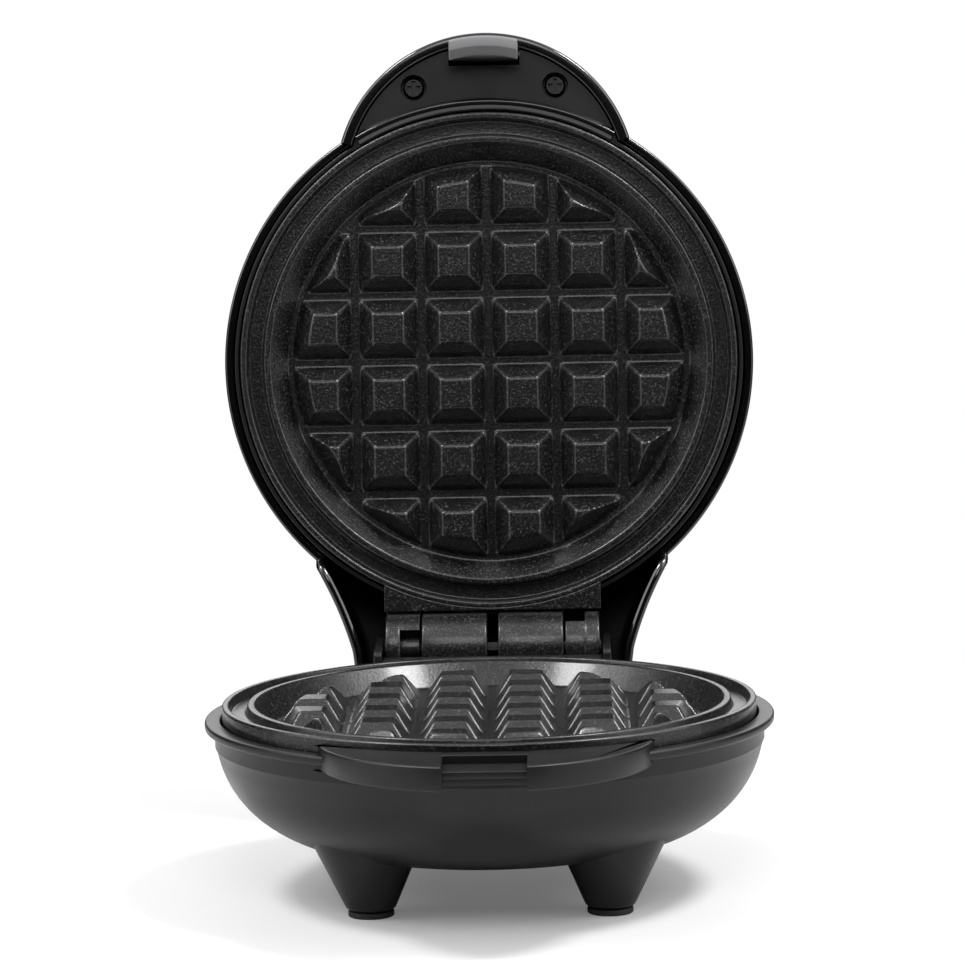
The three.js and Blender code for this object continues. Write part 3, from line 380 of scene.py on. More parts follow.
def revolve(surface, profile, segments=256, start=0.0, sweep=360.0, centre=(0.0, 0.0), closed=False):
    """Turns a profile of (radius, z) about the vertical line through centre, from the start angle.

    Each point is centre + radius * (cos angle, sin angle) at height z. A part turn is capped at both ends.
    """
    profile = np.asarray(profile, float)
    full = sweep >= 360
    angles = np.radians(start + sweep * np.linspace(0, 1, segments + 1)[:segments if full else None])
    radius, height = profile[:, 0], profile[:, 1]
    across, along = np.outer(np.cos(angles), radius), np.outer(np.sin(angles), radius)
    grid = np.stack([centre[0] + across, centre[1] + along, np.broadcast_to(height, across.shape)], -1)
    surface.grid(grid, wrap_rows=full, wrap_columns=closed)
    if not full and closed:
        surface.face(grid[0]).face(grid[-1])
    return surface


def inset_outline(outline, inset):
    """Closed outline moved inwards by inset along the bisectors of its corners."""
    def normal(sides):
        sides = sides / np.maximum(np.linalg.norm(sides, axis=1, keepdims=True), 1e-9)
        return np.stack([-sides[:, 1], sides[:, 0]], 1)

    a, b = normal(np.roll(outline, -1, 0) - outline), normal(outline - np.roll(outline, 1, 0))
    bisector = a + b
    scale = np.maximum((bisector * a).sum(1, keepdims=True), 0.35)
    x, y = outline[:, 0], outline[:, 1]
    turning = np.sign((x * np.roll(y, -1) - np.roll(x, -1) * y).sum())
    return outline + turning * inset * bisector / scale


def prism(surface, outline, bottom, top, edge=0.4, steps=4, axes=(0, 1, 2), cuts=0):
    """Prism of a closed outline with quarter-round edges at both ends.

    At the angle a of the quarter round the outline is inset by edge * (1 - sin a) and lies edge * (1 - cos a)
    from the end. A narrow flat ring follows, so that the end face is shaded flat. axes says which of x, y and
    z the outline's two directions and the height go to, and cuts adds rings between the ends.
    """
    outline = np.asarray(outline, float)
    quarter = np.linspace(0, math.pi / 2, steps + 1)
    turn = [(edge * (1 - math.sin(a)), edge * (1 - math.cos(a))) for a in quarter]
    rings = [(edge + FLAT, bottom), *((inset, bottom + rise) for inset, rise in turn)]
    rings += [(0, height) for height in np.linspace(bottom + edge, top - edge, cuts + 2)[1:-1]]
    rings += [*((inset, top - rise) for inset, rise in turn[::-1]), (edge + FLAT, top)]
    grid = []
    for inset, height in rings:
        flat = at_height(inset_outline(outline, inset) if inset > 1e-9 else outline, height)
        placed = np.empty_like(flat)
        for source, target in enumerate(axes):
            placed[:, target] = flat[:, source]
        grid.append(placed)
    grid = np.array(grid)
    surface.grid(grid, wrap_columns=True)
    return surface.face(grid[0]).face(grid[-1])


def arc(centre, radius, first, last, steps):
    """Points of an arc between two angles in degrees."""
    angles = np.radians(np.linspace(first, last, steps + 1))
    return np.stack([centre[0] + radius * np.cos(angles), centre[1] + radius * np.sin(angles)], 1)


def recess(surface, centre, radius, face, seat):
    """Wall and floor of a round recess that is let into a level face; returns its outline."""
    revolve(surface, [(radius, face), (radius, seat), (AXIS, seat)], HOLE, centre=centre)
    return arc(centre, radius, 0, 360, HOLE)[:-1]


def bar(surface, left, right, centre, radius, edge=0.4, facets=96):
    """Round bar along X about (y, z) = centre, with quarter-round ends."""
    outline = arc(centre, radius, 0, 360, facets)[:-1]
    return prism(surface, outline, left, right, edge, axes=ALONG_X)


def blended_min(a, b, width):
    """Smaller of two heights, the corner between them rounded over the given width."""
    near = np.maximum(width - np.abs(a - b), 0) / width
    return np.minimum(a, b) - near ** 2 * width / 4


def blended_max(a, b, width):
    """Larger of two heights, rounded likewise."""
    return -blended_min(-a, -b, width)


# Waffle plates

def waffle_heights(x, y, plate):
    """Height of the waffle field at (x, y), zero on the parting plane.

    Each square is a flat top that falls off with the larger of the two distances from its centre; the whole
    grid is trimmed by a cone round the plate's axis, and both rest on the flat floor.
    """
    half = (plate.columns - 1) / 2
    row = np.clip(np.round(y / plate.pitch - 0.5) + 0.5, -half, half)
    column = np.clip(np.round(x / plate.pitch - 0.5) + 0.5, -half, half)
    across = blended_max(np.abs(x - column * plate.pitch), np.abs(y - row * plate.pitch), plate.edge)
    height = plate.floor_depth - plate.top_depth
    side = -plate.top_depth - (across - plate.top_width / 2) * height / plate.side_run
    square = blended_min(side, np.full_like(side, -plate.top_depth), plate.edge)
    cone = -plate.top_depth - (np.hypot(x, y) - plate.clip_radius) * height / plate.clip_run
    trimmed = blended_min(square, cone, plate.edge)
    corner = (np.abs(row) == half) & (np.abs(column) == half)
    return blended_max(np.where(corner, -2 * plate.floor_depth, trimmed), np.full_like(x, -plate.floor_depth),
                       plate.edge)


def waffle_field(surface, plate):
    """The grid of squares as a height field, sinking under the floor's edge at its rim.

    Each cell of the grid is cut along the diagonal with the smaller step in height, which keeps ridges clean.
    """
    foot = plate.clip_radius + plate.clip_run
    lines = np.linspace(-foot - 1.2, foot + 1.2, plate.field_lines)
    x, y = np.meshgrid(lines, lines, indexing="ij")
    away = np.hypot(x, y)
    z = waffle_heights(x, y, plate) - 0.3 * np.clip((away - foot - 0.35) / 0.5, 0, 1)
    inside = away < foot + 1.1
    quads = quads_over(np.arange(x.size).reshape(x.shape))[quads_over(inside).all(-1)]
    corners = z.reshape(-1)[quads]
    turned = np.abs(corners[:, 0] - corners[:, 2]) > np.abs(corners[:, 1] - corners[:, 3])
    quads = np.where(turned[:, None], np.roll(quads, -1, 1), quads)
    triangles = np.concatenate([quads[:, [0, 1, 2]], quads[:, [0, 2, 3]]])
    used = np.unique(triangles)
    renumber = np.zeros(x.size, int)
    renumber[used] = np.arange(len(used))
    points = np.stack([x, y, z], -1).reshape(-1, 3)[used]
    return surface.add(points, renumber[triangles].tolist())


def plate_rim(surface, plate):
    """Floor's edge, sloping wall, inner ring, overflow groove and outer rim, as one turned profile."""
    top, rim = -plate.rim_top, plate.rim_radius
    groove_outer = rim - plate.rim_width
    groove_inner = groove_outer - plate.groove_width
    ring_inner = groove_inner - plate.ring_width
    foot = ring_inner - plate.wall_run
    draft = 0.5
    profile = rounded([
        (plate.clip_radius + plate.clip_run + 0.3, -plate.floor_depth),
        (foot, -plate.floor_depth),
        (ring_inner, top),
        (groove_inner, top),
        (groove_inner + draft, -plate.groove_depth),
        (groove_outer - draft, -plate.groove_depth),
        (groove_outer, top),
        (rim, top),
        (rim, -plate.skirt),
        (rim - 4, -plate.skirt),
    ], [0, 1.4, 0.7, 0.5, 0.6, 0.6, 0.55, 0.6, 0.5, 0], steps=6)
    return revolve(surface, profile, 384)


def hinge_knuckles(surface, plate, hinge):
    """Tab, barrel with its stop tooth, and lug with the notch for the twin's tooth."""
    top, inside = -plate.rim_top, plate.rim_radius - 0.3
    reach = hinge.reach - hinge.radius - 0.6
    bend = span(hinge.tab_half, inside)
    inner = arc((0, 0), inside, 90 - bend, 90 + bend, 48)
    tab = np.concatenate([inner, [(-hinge.tab_half, reach), (hinge.tab_half, reach)]])
    prism(surface, tab, top - hinge.tab_depth, top, 0.25)
    centre = (hinge.reach, 0.0)
    bar(surface, -hinge.barrel_outer, -hinge.barrel_inner, centre, hinge.radius, 0.5)
    start, low, high = plate.rim_radius - 3, -8.2, -3
    web = rounded([(start, low), (hinge.reach, low), (hinge.reach, high), (start, high)], 0.3, closed=True)
    for left, right in ((-hinge.barrel_outer, -hinge.barrel_inner), (hinge.lug_inner, hinge.lug_outer)):
        prism(surface, web, left, right, 0.3, axes=ALONG_X)
    play = 2.5
    notch_end = hinge.notch_from + hinge.tooth + hinge.opening + play
    notch_start = hinge.notch_from - play
    bar(surface, hinge.lug_inner + hinge.notch_width, hinge.lug_outer, centre, hinge.radius, 0.5)
    notched = np.concatenate([arc(centre, hinge.radius, 180 - notch_start, 540 - notch_end, 64),
                              arc(centre, hinge.core, 540 - notch_end, 540 - notch_start, 32)])
    prism(surface, notched, hinge.lug_inner, hinge.lug_inner + hinge.notch_width + 0.4, 0.3, axes=ALONG_X)
    first = 180 + hinge.notch_from
    tooth = np.concatenate([arc(centre, hinge.radius, first, first + hinge.tooth, 12),
                            arc(centre, hinge.core + 0.4, first + hinge.tooth, first, 8)])
    return prism(surface, tooth, -hinge.lug_inner - hinge.notch_width + 0.4, -hinge.barrel_outer + 0.5, 0.3,
                 axes=ALONG_X)


# Base

def bowl_curve(base, inset, steps=28):
    """Side of the bowl from below the flange to its flat bottom, a cubic curve set in by inset."""
    side = base.flange_radius - BOWL_WALL - inset
    start = base.flange_drop + base.flange_thickness if inset == 0 else INSIDE_START + inset
    bottom = base.bottom - inset
    return bezier((side, -start), (side - 0.1, -BOWL_STEEP), (BOWL_ROUND - inset / 2, -bottom),
                  (BOWL_FLAT, -bottom), steps)


def base_bowl(surface, base, hinge):
    """Bowl below the hinge well all round, and above it everywhere but behind the plate."""
    top, under = -base.flange_drop, -base.flange_drop - base.flange_thickness
    rim, mouth, side = base.flange_radius, base.mouth, base.flange_radius - BOWL_WALL
    outer, inner = bowl_curve(base, 0), bowl_curve(base, BOWL_WALL)
    upper = rounded([(mouth, -base.well), (mouth, top), (rim, top), (rim, under), (side, under),
                     (side, -base.well)], [0, 0.35, 0.6, 0.6, 0.35, 0])
    gap = span(base.cradle_half - base.cheek, rim)
    revolve(surface, upper, ROUND, 90 + gap, 360 - 2 * gap, closed=True)
    below = outer[(outer[:, 1] < -base.well) & (outer[:, 0] > base.screw_circle + base.screw_recess)]
    inside = inner[inner[:, 1] < -base.well - 1.5][::-1]
    skin = np.concatenate([[(AXIS, -base.bottom + BOWL_WALL)], inside,
                           [(mouth, -base.well), (side, -base.well)], below])
    revolve(surface, skin, 256)
    screw_recesses(surface, base, *below[-1])


def screw_recesses(surface, base, edge, floor):
    """Flat bottom inside the radius edge, with the round recesses of the three screws let into it."""
    holes = []
    for angle in (-90, 30, 150):
        turn = math.radians(angle)
        centre = base.screw_circle * np.array([math.cos(turn), math.sin(turn)])
        holes.append(recess(surface, centre, base.screw_recess, floor, -base.screw_seat))
    surface.flat([arc((0, 0), edge, 0, 360, 256)[:-1], *holes], floor)


def gland_boss(surface, base):
    """Round boss that holds the cord's bush: a turned section laid along Y."""
    bore, radius, near, far = base.gland_bore, base.gland_radius, 50, 59.4
    section = rounded([(bore, near), (radius, near), (radius, far), (bore, far)], [0, 0, 0.6, 0.3],
                      closed=True)
    turned = Surface()
    revolve(turned, section, 64, closed=True)
    points = np.concatenate(turned.points)
    laid = np.stack([points[:, 0], points[:, 2], points[:, 1] - base.gland_drop], 1)
    surface.add(laid, turned.faces)


def handle_meets(lid, radius, other):
    """Angles at which the handle's circle of the given radius meets a circle of another about the origin.

    The first is counted down from the level of the handle's centre, the second from -Y about the origin.
    """
    reach = lid.handle_reach
    y = -(other ** 2 + reach ** 2 - radius ** 2) / (2 * reach)
    x = math.sqrt(other ** 2 - y ** 2)
    return math.degrees(math.atan2(-y - reach, x)), math.degrees(math.atan2(x, -y))


def front_lip(surface, base, lid):
    """Half-moon lip: two horns, and between them the notch with the ledge that the latch hooks."""
    top, low = -base.lip_top, -base.lip_top - base.lip_height
    half, radius, centre = base.notch_width / 2, lid.handle_radius, (0, -lid.handle_reach)
    end, far = handle_meets(lid, radius, base.mouth)
    outline = np.concatenate([arc(centre, radius, 180 + end, 270 - span(half, radius), 48),
                              arc((0, 0), base.mouth, 270 - span(half, base.mouth), 270 - far, 32)])
    for side in (1, -1):
        horn = outline * (side, 1)
        prism(surface, horn[::side], low, top, 0.55, steps=5)
    floor, back, side = -base.notch_floor, -base.flange_radius - 0.3, half + 0.4
    ledge, bottom = -base.flange_drop, -base.flange_drop - base.ledge
    for front, under, over in ((back, bottom, top), (floor, bottom, ledge),
                               (floor + base.lip_foot, low, bottom + 0.3)):
        block = [(-side, front), (side, front), (side, -base.mouth), (-side, -base.mouth)]
        prism(surface, block, under, over, 0.25)


def leg(surface, foot, head):
    """Oblique taper: circles whose radius and centre run evenly from the foot to the head.

    Both are (x, y, z, radius). Just above the foot, at a share s of the height under 0.03, the radius is less
    by 0.45 * (1 - s / 0.03)^2, which rounds the edge.
    """
    foot, head = np.array(foot), np.array(head)
    share = np.concatenate([[0, 0.01, 0.03], np.linspace(0.06, 1, 26)])
    around = arc((0, 0), 1, 0, 360, 64)[:-1]
    rings = []
    for s in share:
        x, y, z, radius = foot + (head - foot) * s
        radius -= 0.45 * max(0, 1 - s / 0.03) ** 2
        rings.append(at_height((x, y) + radius * around, z))
    rings = np.array(rings)
    return surface.grid(rings, wrap_columns=True).face(rings[0])


def rubber_pad(surface, foot, base):
    """Pad under a leg: a low cylinder with rounded edges."""
    radius, bottom = base.pad_radius, -base.ground
    top = bottom + base.pad_height
    section = rounded([(AXIS, bottom), (radius, bottom), (radius, top), (AXIS, top)], [0, 0.35, 0.35, 0])
    return revolve(surface, section, 64, centre=foot)


def hinge_cradle(surface, base, hinge):
    """Round-backed trough under the knuckles, with a cheek at each end."""
    centre = (hinge.reach, 0.0)
    inner = base.cradle - base.cheek
    half, top, root = base.cradle_half, -9.4, [(58.5, -17.5), (63.5, -11)]
    back, hollow = arc(centre, base.cradle, 270, 357, 40), arc(centre, inner, 357, 250, 40)
    wall = np.concatenate([[(52, top), (52, -19.6), *root], back, hollow, [(60, top)]])
    end = np.concatenate([[(54, 2), (54, -19.3), *root],
                          arc(centre, base.cradle, 270, 360 + span(2, base.cradle), 40)])
    for outline, corners, left, right, edge in (
            (wall, [2, 3], -half + 0.4, half - 0.4, 0.3),
            (end, [0, 2, 3], -half, -half + base.cheek, 0.4),
            (end, [0, 2, 3], half - base.cheek, half, 0.4)):
        radii = np.zeros(len(outline))
        radii[corners] = 1.5
        prism(surface, rounded(outline, radii, closed=True), left, right, edge, axes=ALONG_X)


# Radius of a leg's foot, and the gap that shows between it and its pad
FOOT_RADIUS = 5.3
PAD_GAP = 0.3

# Foot (x, y) and head (x, y, z, radius) of the front and the rear leg at +X
LEGS = (((26.1, -27.0), (26.6, -27.3, -26.0, 12.6)), ((26.1, 50.0), (24.6, 40.5, -19.5, 11.4)))


def leg_pairs():
    """Foot and head of each leg, in the order of the foot pads."""
    for side in (-1, 1):
        for foot, head in LEGS:
            yield (side * foot[0], foot[1]), (side * head[0], head[1], head[2], head[3])


# Lid

def dome_side(lid, inset):
    """Dome's section from the skirt up to the crown, a cubic curve set in by inset."""
    return bezier((lid.radius - inset, lid.rise + SKIRT), (lid.radius - inset - 0.6, DOME_STEEP),
                  (DOME_ROUND, lid.height - inset), (AXIS, lid.height - inset), 48)


def lid_dome(surface, lid):
    """Dome: a whole crown above the section's step split, and below it a skirt with a gap inside the tail."""
    outside, inside = dome_side(lid, 0), dome_side(lid, lid.wall)
    split, overlap = 9, 0.8
    revolve(surface, np.concatenate([inside[split:][::-1], outside[split:]]), ROUND)
    edge = rounded([(lid.radius - lid.wall, lid.rise + SKIRT), (lid.radius - lid.wall, lid.rise),
                    (lid.radius, lid.rise), (lid.radius, lid.rise + SKIRT)], [0, 0.5, 0.8, 0], steps=6)
    skirt = np.concatenate([inside[1:split + 1][::-1], edge, outside[1:split + 1]])
    gap = span(float(tail_width(47)) - overlap, lid.radius - 0.4)
    return revolve(surface, skirt, 280, 90 + gap, 360 - 2 * gap, closed=True)


def lid_handle(surface, lid):
    """Half-moon handle: a turned roof that runs into the dome, and below it a wall that ends at the dome."""
    def side(inset):
        radius = lid.handle_radius - inset
        crown = lid.handle_height - (lid.wall if inset else 0)
        return bezier((radius, lid.handle_side), (radius, crown), (HANDLE_ROUND, crown), (AXIS, crown), 36)
    centre = (0, -lid.handle_reach)
    revolve(surface, np.concatenate([side(lid.handle_wall)[::-1], side(0)]), ROUND, 180, 180, centre=centre)
    inner, outer = lid.handle_radius - lid.handle_wall, lid.handle_radius
    wall = rounded([(inner, lid.handle_side), (inner, lid.handle_bottom), (outer, lid.handle_bottom),
                    (outer, lid.handle_side)], [0, 0.5, 1.0, 0], steps=6)
    end, _ = handle_meets(lid, lid.handle_radius, lid.radius - 0.2)
    return revolve(surface, wall, 280, 180 + end, 180 - 2 * end, centre=centre, closed=True)


def tail_width(y):
    """Half width of the hinge tail at a distance y from the bowl's axis.

    It narrows in a quadratic curve, then evenly, and turns in by a quarter circle.
    """
    share = np.clip((y - TAIL_ROOT) / (TAIL_WAIST - TAIL_ROOT), 0, 1)
    width = (1 - share) ** 2 * TAIL_WIDE + 2 * share * (1 - share) * TAIL_BEND + share ** 2 * TAIL_NARROW
    width = np.where(y > TAIL_WAIST, TAIL_NARROW - (y - TAIL_WAIST) / TAIL_LENGTH * TAIL_TAPER, width)
    turn = np.clip(y - TAIL_TURN, 0, TAIL_CORNER)
    return width - (TAIL_CORNER - np.sqrt(TAIL_CORNER ** 2 - turn ** 2))


def tail_roof(y):
    """Height of the tail's roof: part of a circle about a point below the tail's middle."""
    middle, drop, radius = TAIL_ROOF
    return np.sqrt(np.maximum(radius ** 2 - (y - middle) ** 2, 1)) + drop


def lid_tail(surface, lid):
    """Hinge tail: arch-shaped sections, each with rounded shoulders, strung along the tail.

    Inside the dome only their upper part is kept; the walls below it start at the dome's skirt.
    """
    root = 46.8
    stations = np.concatenate([np.linspace(43.5, root, 6), np.linspace(root + 0.02, TAIL_TURN, 40),
                               TAIL_TURN + TAIL_CORNER * np.sin(np.linspace(0, math.pi / 2, 12)[1:])])
    rows = []
    for y in stations:
        width, roof = float(tail_width(y)), float(tail_roof(y))
        corner = min(4.0, roof / 3)
        low = 0.3 + (lid.rise - 0.3) * max(0, 1 - (y - root) / 7) ** 2 if y > root else roof * 0.55
        section = rounded([(-width, low), (-width, roof), (width, roof), (width, low)],
                          [0, corner, corner, 0], steps=10)
        rows.append(np.stack([section[:, 0], np.full(len(section), y), section[:, 1]], 1))
    rows = np.array(rows)
    surface.grid(rows)
    return surface.face(rows[-1])


def lid_crescent(surface, lid, plate):
    """Satin crescent that closes the handle: face with screw recesses, sides and the slot's walls.

    Its outline follows the handle's wall and the circle round the plate, with the latch's slot in its tip.
    """
    inner, radius = plate.rim_radius + PLATE_GAP, lid.handle_radius - lid.handle_wall - FRAME_GAP
    end, far = handle_meets(lid, radius, inner)
    half = lid.latch_width / 2 + FRAME_GAP
    slot = span(half, radius)
    centre = (0, -lid.handle_reach)
    outline = np.concatenate([
        arc(centre, radius, 180 + end, 270 - slot, 48), [(-half, -lid.slot_floor), (half, -lid.slot_floor)],
        arc(centre, radius, 270 + slot, 360 - end, 48), arc((0, 0), inner, far - 90, -90 - far, 64)[1:-1]])
    low = lid.crescent
    holes = [recess(surface, (side * lid.screw_half, -lid.screw_reach), lid.screw_recess, low, low + 2.3)
             for side in (-1, 1)]
    surface.flat([outline, *holes], low)
    walls = np.array([at_height(outline, low), at_height(outline, low + 6)])
    return surface.grid(walls, wrap_columns=True)


def lid_bead(surface, lid, plate):
    """Raised bead between the crescent and the plate, only as long as the crescent."""
    inner = plate.rim_radius + PLATE_GAP
    _, half = handle_meets(lid, lid.handle_radius - lid.handle_wall - FRAME_GAP, 62.3)
    outer, low, high = 63.1, 1.0, lid.crescent + 2
    section = rounded([(inner, high), (inner, low + 0.6), (61.3, low), (62.4, low),
                       (outer, lid.crescent + 0.05), (outer, high)], [0, 0.3, 0.35, 0.4, 0.3, 0])
    return revolve(surface, section, 160, 270 - half, 2 * half, closed=True)


def lid_ring(surface, plate):
    """Satin ring between the plate and the cover, and the dish behind the plate."""
    inner = plate.rim_radius + PLATE_GAP
    outer, face, roof, low, hole = inner + 1, 2.2, 18.2, 16.7, 13
    section = rounded([(inner, 6), (inner, face), (outer, face), (outer, 5.6), (49.4, roof), (hole, roof),
                       (hole, low), (48, low)], [0, 0.25, 0.25, 0, 0, 0, 0, 0], steps=4)
    return revolve(surface, section, ROUND, closed=True)


def latch_body(surface, lid):
    """Latch clip: its side view drawn across the handle and bent along the half-moon, on a straight barrel.

    A point r from the handle's centre in the side view lies at y = -reach - sqrt(r^2 - x^2) after bending.
    """
    outer = lid.handle_radius - 1.95
    inner = outer - 2.45
    nib = inner - 2
    side = rounded([(-outer, -8), (-inner, -8), (-nib, -6.4), (-nib, -5.5), (-inner, -5.5), (-inner, 7.6),
                    (-outer + 0.7, 7.6), (-outer + 0.7, -0.4), (-outer, -1.1)],
                   [0.6, 0.4, 0.3, 0.2, 0.15, 0.3, 0.3, 0.2, 0.4], closed=True)
    half = lid.latch_width / 2
    straight = prism(Surface(), side, -half, half, 0.4, axes=ALONG_X, cuts=24)
    bent = np.concatenate(straight.points)
    bent[:, 1] = -lid.handle_reach - np.sqrt(bent[:, 1] ** 2 - bent[:, 0] ** 2)
    surface.add(bent, straight.faces)
    return bar(surface, -half, half, LATCH_PIN, 2.0, 0.2, 48)


# Finishes

class Value:
    """One shader value: arithmetic on it adds Math nodes to its tree."""

    def __init__(self, tree, socket):
        self.tree, self.socket = tree, socket

    def math(self, operation, *others):
        """Math node with this value and the others, which are values or numbers, as its inputs."""
        node = self.tree.nodes.new("ShaderNodeMath")
        node.operation = operation
        for slot, item in zip(node.inputs, (self, *others)):
            if isinstance(item, Value):
                self.tree.links.new(item.socket, slot)
            else:
                slot.default_value = item
        return Value(self.tree, node.outputs[0])

    def __add__(self, other):
        return self.math("ADD", other)

    def __sub__(self, other):
        return self.math("SUBTRACT", other)

    def __mul__(self, other):
        return self.math("MULTIPLY", other)

    def __pow__(self, other):
        return self.math("POWER", other)

    __radd__ = __add__

    def between(self, low, high):
        """Share of the way from low to high, kept between 0 and 1, with eased ends."""
        node = self.tree.nodes.new("ShaderNodeMapRange")
        node.interpolation_type = "SMOOTHSTEP"
        node.inputs["From Min"].default_value = low
        node.inputs["From Max"].default_value = high
        self.tree.links.new(self.socket, node.inputs["Value"])
        return Value(self.tree, node.outputs["Result"])


class Finish:
    """A material under construction: its Principled shader, its textures and its links."""

    def __init__(self, name, **constants):
        self.material = bpy.data.materials.new(LOOK + name)
        self.material.use_nodes = True
        self.tree = self.material.node_tree
        self.shader = next(n for n in self.tree.nodes if n.type == "BSDF_PRINCIPLED")
        self.set(self.shader, **constants)
        self.place = self.node("ShaderNodeTexCoord").outputs["Object"]

    def node(self, kind, **settings):
        """New node with its settings."""
        made = self.tree.nodes.new(kind)
        for key, value in settings.items():
            setattr(made, key, value)
        return made

    def set(self, node, **constants):
        """Sets inputs by name, with _ for a space."""
        for key, value in constants.items():
            node.inputs[key.replace("_", " ")].default_value = value
        return node

    def link(self, source, node, name):
        """Joins a value or a socket to a node's named input."""
        self.tree.links.new(source.socket if isinstance(source, Value) else source, node.inputs[name])

    def feed(self, **sources):
        """Joins values or sockets to the shader's inputs by name, with _ for a space."""
        for key, source in sources.items():
            self.link(source, self.shader, key.replace("_", " "))

    def noise(self, scale, detail=2.0, roughness=0.5):
        """Noise over the object's own coordinates, features 1 / scale metres wide."""
        texture = self.set(self.node("ShaderNodeTexNoise"), Scale=scale, Detail=detail, Roughness=roughness)
        self.link(self.place, texture, "Vector")
        return Value(self.tree, texture.outputs["Fac"])

    def cells(self, scale):
        """Distance to the nearest of many scattered points, 1 / scale metres apart."""
        texture = self.set(self.node("ShaderNodeTexVoronoi"), Scale=scale)
        self.link(self.place, texture, "Vector")
        return Value(self.tree, texture.outputs["Distance"])

    def mix(self, share, first, second):
        """Colour between the first, at a share of 0, and the second."""
        node = self.node("ShaderNodeMix", data_type="RGBA")
        self.link(share, node, "Factor")
        for socket, colour in zip([s for s in node.inputs if s.type == "RGBA"], (first, second)):
            socket.default_value = (*colour, 1)
        return next(s for s in node.outputs if s.type == "RGBA")

    def bump(self, height, distance, strength):
        """Puts a bump into the shader's normal and returns the finished material."""
        node = self.set(self.node("ShaderNodeBump"), Distance=distance, Strength=strength)
        self.link(height, node, "Height")
        self.feed(Normal=node.outputs["Normal"])
        return self.material


def satin_black():
    """Fine-grained moulded plastic: a light grain in its gloss and its surface."""
    finish = Finish("satin_black", Metallic=0.0, Specular_IOR_Level=0.28)
    grain, broad = finish.noise(2600, 3), finish.noise(90, 2)
    colour = finish.mix(broad.between(0.3, 0.7), (0.0095, 0.0095, 0.0097), (0.012, 0.012, 0.0122))
    finish.feed(Base_Color=colour, Roughness=broad * 0.05 + grain * 0.06 + 0.29)
    return finish.bump(grain, 0.00002, 0.35)


def gloss_black():
    """Polished black plastic, with the faintest waviness of a moulded skin."""
    finish = Finish("gloss_black", Base_Color=(0.0035, 0.0035, 0.004, 1), Metallic=0.0, Coat_Weight=0.4,
                    Coat_Roughness=0.04)
    wave, dust = finish.noise(55, 1), finish.noise(3200, 2)
    finish.feed(Roughness=wave * 0.03 + dust * 0.03 + 0.1)
    return finish.bump(wave, 0.0002, 0.08)


def non_stick():
    """Speckled non-stick coat on cast metal: pebbled surface with paler, shinier grains."""
    finish = Finish("non_stick", Metallic=0.0, Specular_IOR_Level=0.36, Coat_Weight=0.3, Coat_Roughness=0.14)
    pebbles, fine = finish.cells(1400), finish.noise(2500, 3, 0.6)
    patches, grains = finish.noise(160, 2), finish.noise(1900, 2, 0.7)
    speckle = grains.between(0.53, 0.7)
    colour = finish.mix(speckle, (0.0045, 0.0045, 0.0048), (0.07, 0.07, 0.072))
    finish.feed(Base_Color=colour, Roughness=0.28 + patches * 0.07 - speckle * 0.08)
    return finish.bump(pebbles * 0.4 + fine * 0.6, 0.00016, 0.6)


def grained(name, colour, low, swing, shade, depth, **constants):
    """A plain material with one fine grain in its colour, its gloss and its surface."""
    finish = Finish(name, **constants)
    fine = finish.noise(2400, 3)
    finish.feed(Base_Color=finish.mix(fine, colour, tuple(c * shade for c in colour)),
                Roughness=fine * swing + low)
    return finish.bump(fine, depth, 0.3)


def steel(name, colour, low):
    """Plated steel."""
    return grained(name, colour, low, 0.12, 0.8, 0.00001, Metallic=1.0)


def plastic(name, colour, low, depth=0.00002, **constants):
    """Moulded plastic, rubber or ceramic."""
    return grained(name, colour, low, 0.1, 0.86, depth, Metallic=0.0, **constants)


def make_finishes():
    """Makes the finish of every slot in the record, and the very dark, dull black that paints shade inside the
    hinge tail.
    """
    satin_black()
    gloss_black()
    non_stick()
    steel("sheath", (0.12, 0.13, 0.12), 0.4)
    steel("bright_steel", (0.55, 0.56, 0.58), 0.22)
    steel("black_steel", (0.05, 0.05, 0.052), 0.3)
    plastic("grey_plastic", (0.2, 0.2, 0.205), 0.34)
    plastic("rubber", (0.02, 0.02, 0.02), 0.7, 0.00004)
    # Painted shade: a darker, duller black than the cover, for the shaded inside of the hinge tail
    plastic("painted_shade_inside", (0.003, 0.003, 0.003), 0.5, Specular_IOR_Level=0.1)
    plastic("ceramic", (0.72, 0.7, 0.64), 0.55)
    plastic("amber_lens", (0.42, 0.05, 0.015), 0.08, 0.000004, Coat_Weight=0.5)
    plastic("glass", (0.8, 0.84, 0.82), 0.04, 0.000002, Transmission_Weight=0.9)


def finish_for(slot):
    """The finish of a slot, made once. The frame brings plain materials with the slots' bare names."""
    if LOOK + slot not in bpy.data.materials:
        make_finishes()
    return bpy.data.materials[LOOK + slot]


# Operators

class Step:
    """What the steps share: each one builds its pieces in the scene."""

    def execute(self, context):
        self.build(context.scene)
        return {"FINISHED"}


class WAFFLE_OT_frame(Step, Operator):
    """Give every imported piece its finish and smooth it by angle"""
    bl_idname = "waffle.frame"
    bl_label = "Finish the frame"

    def build(self, scene):
        slots = {s["node"]: s["material_slot"] for s in frame["record"]["subparts"]}
        for name, node in frame["nodes"].items():
            node.data.materials.clear()
            # Painted shade: the hinge pin takes black steel here, as dark as the shaded gap it sits in
            node.data.materials.append(finish_for(PAINTED_SHADE.get(name, slots[name])))
            select_only(node)
            bpy.ops.object.shade_smooth_by_angle(angle=SHARP)


class WAFFLE_OT_plates(Step, Operator):
    """Build both waffle plates from one casting"""
    bl_idname = "waffle.plates"
    bl_label = "Waffle plates"

    def build(self, scene):
        plate, hinge = scene.waffle_plate, scene.waffle_hinge
        for name, place, body in (("lower_plate", to_base, "base"),
                                  ("upper_plate", lambda p: to_lid(flipped(p)), "lid")):
            casting = Surface()
            waffle_field(casting, plate)
            plate_rim(casting, plate)
            hinge_knuckles(casting, plate, hinge)
            casting.finish(f"{name}_look", place, body, "non_stick", [name])


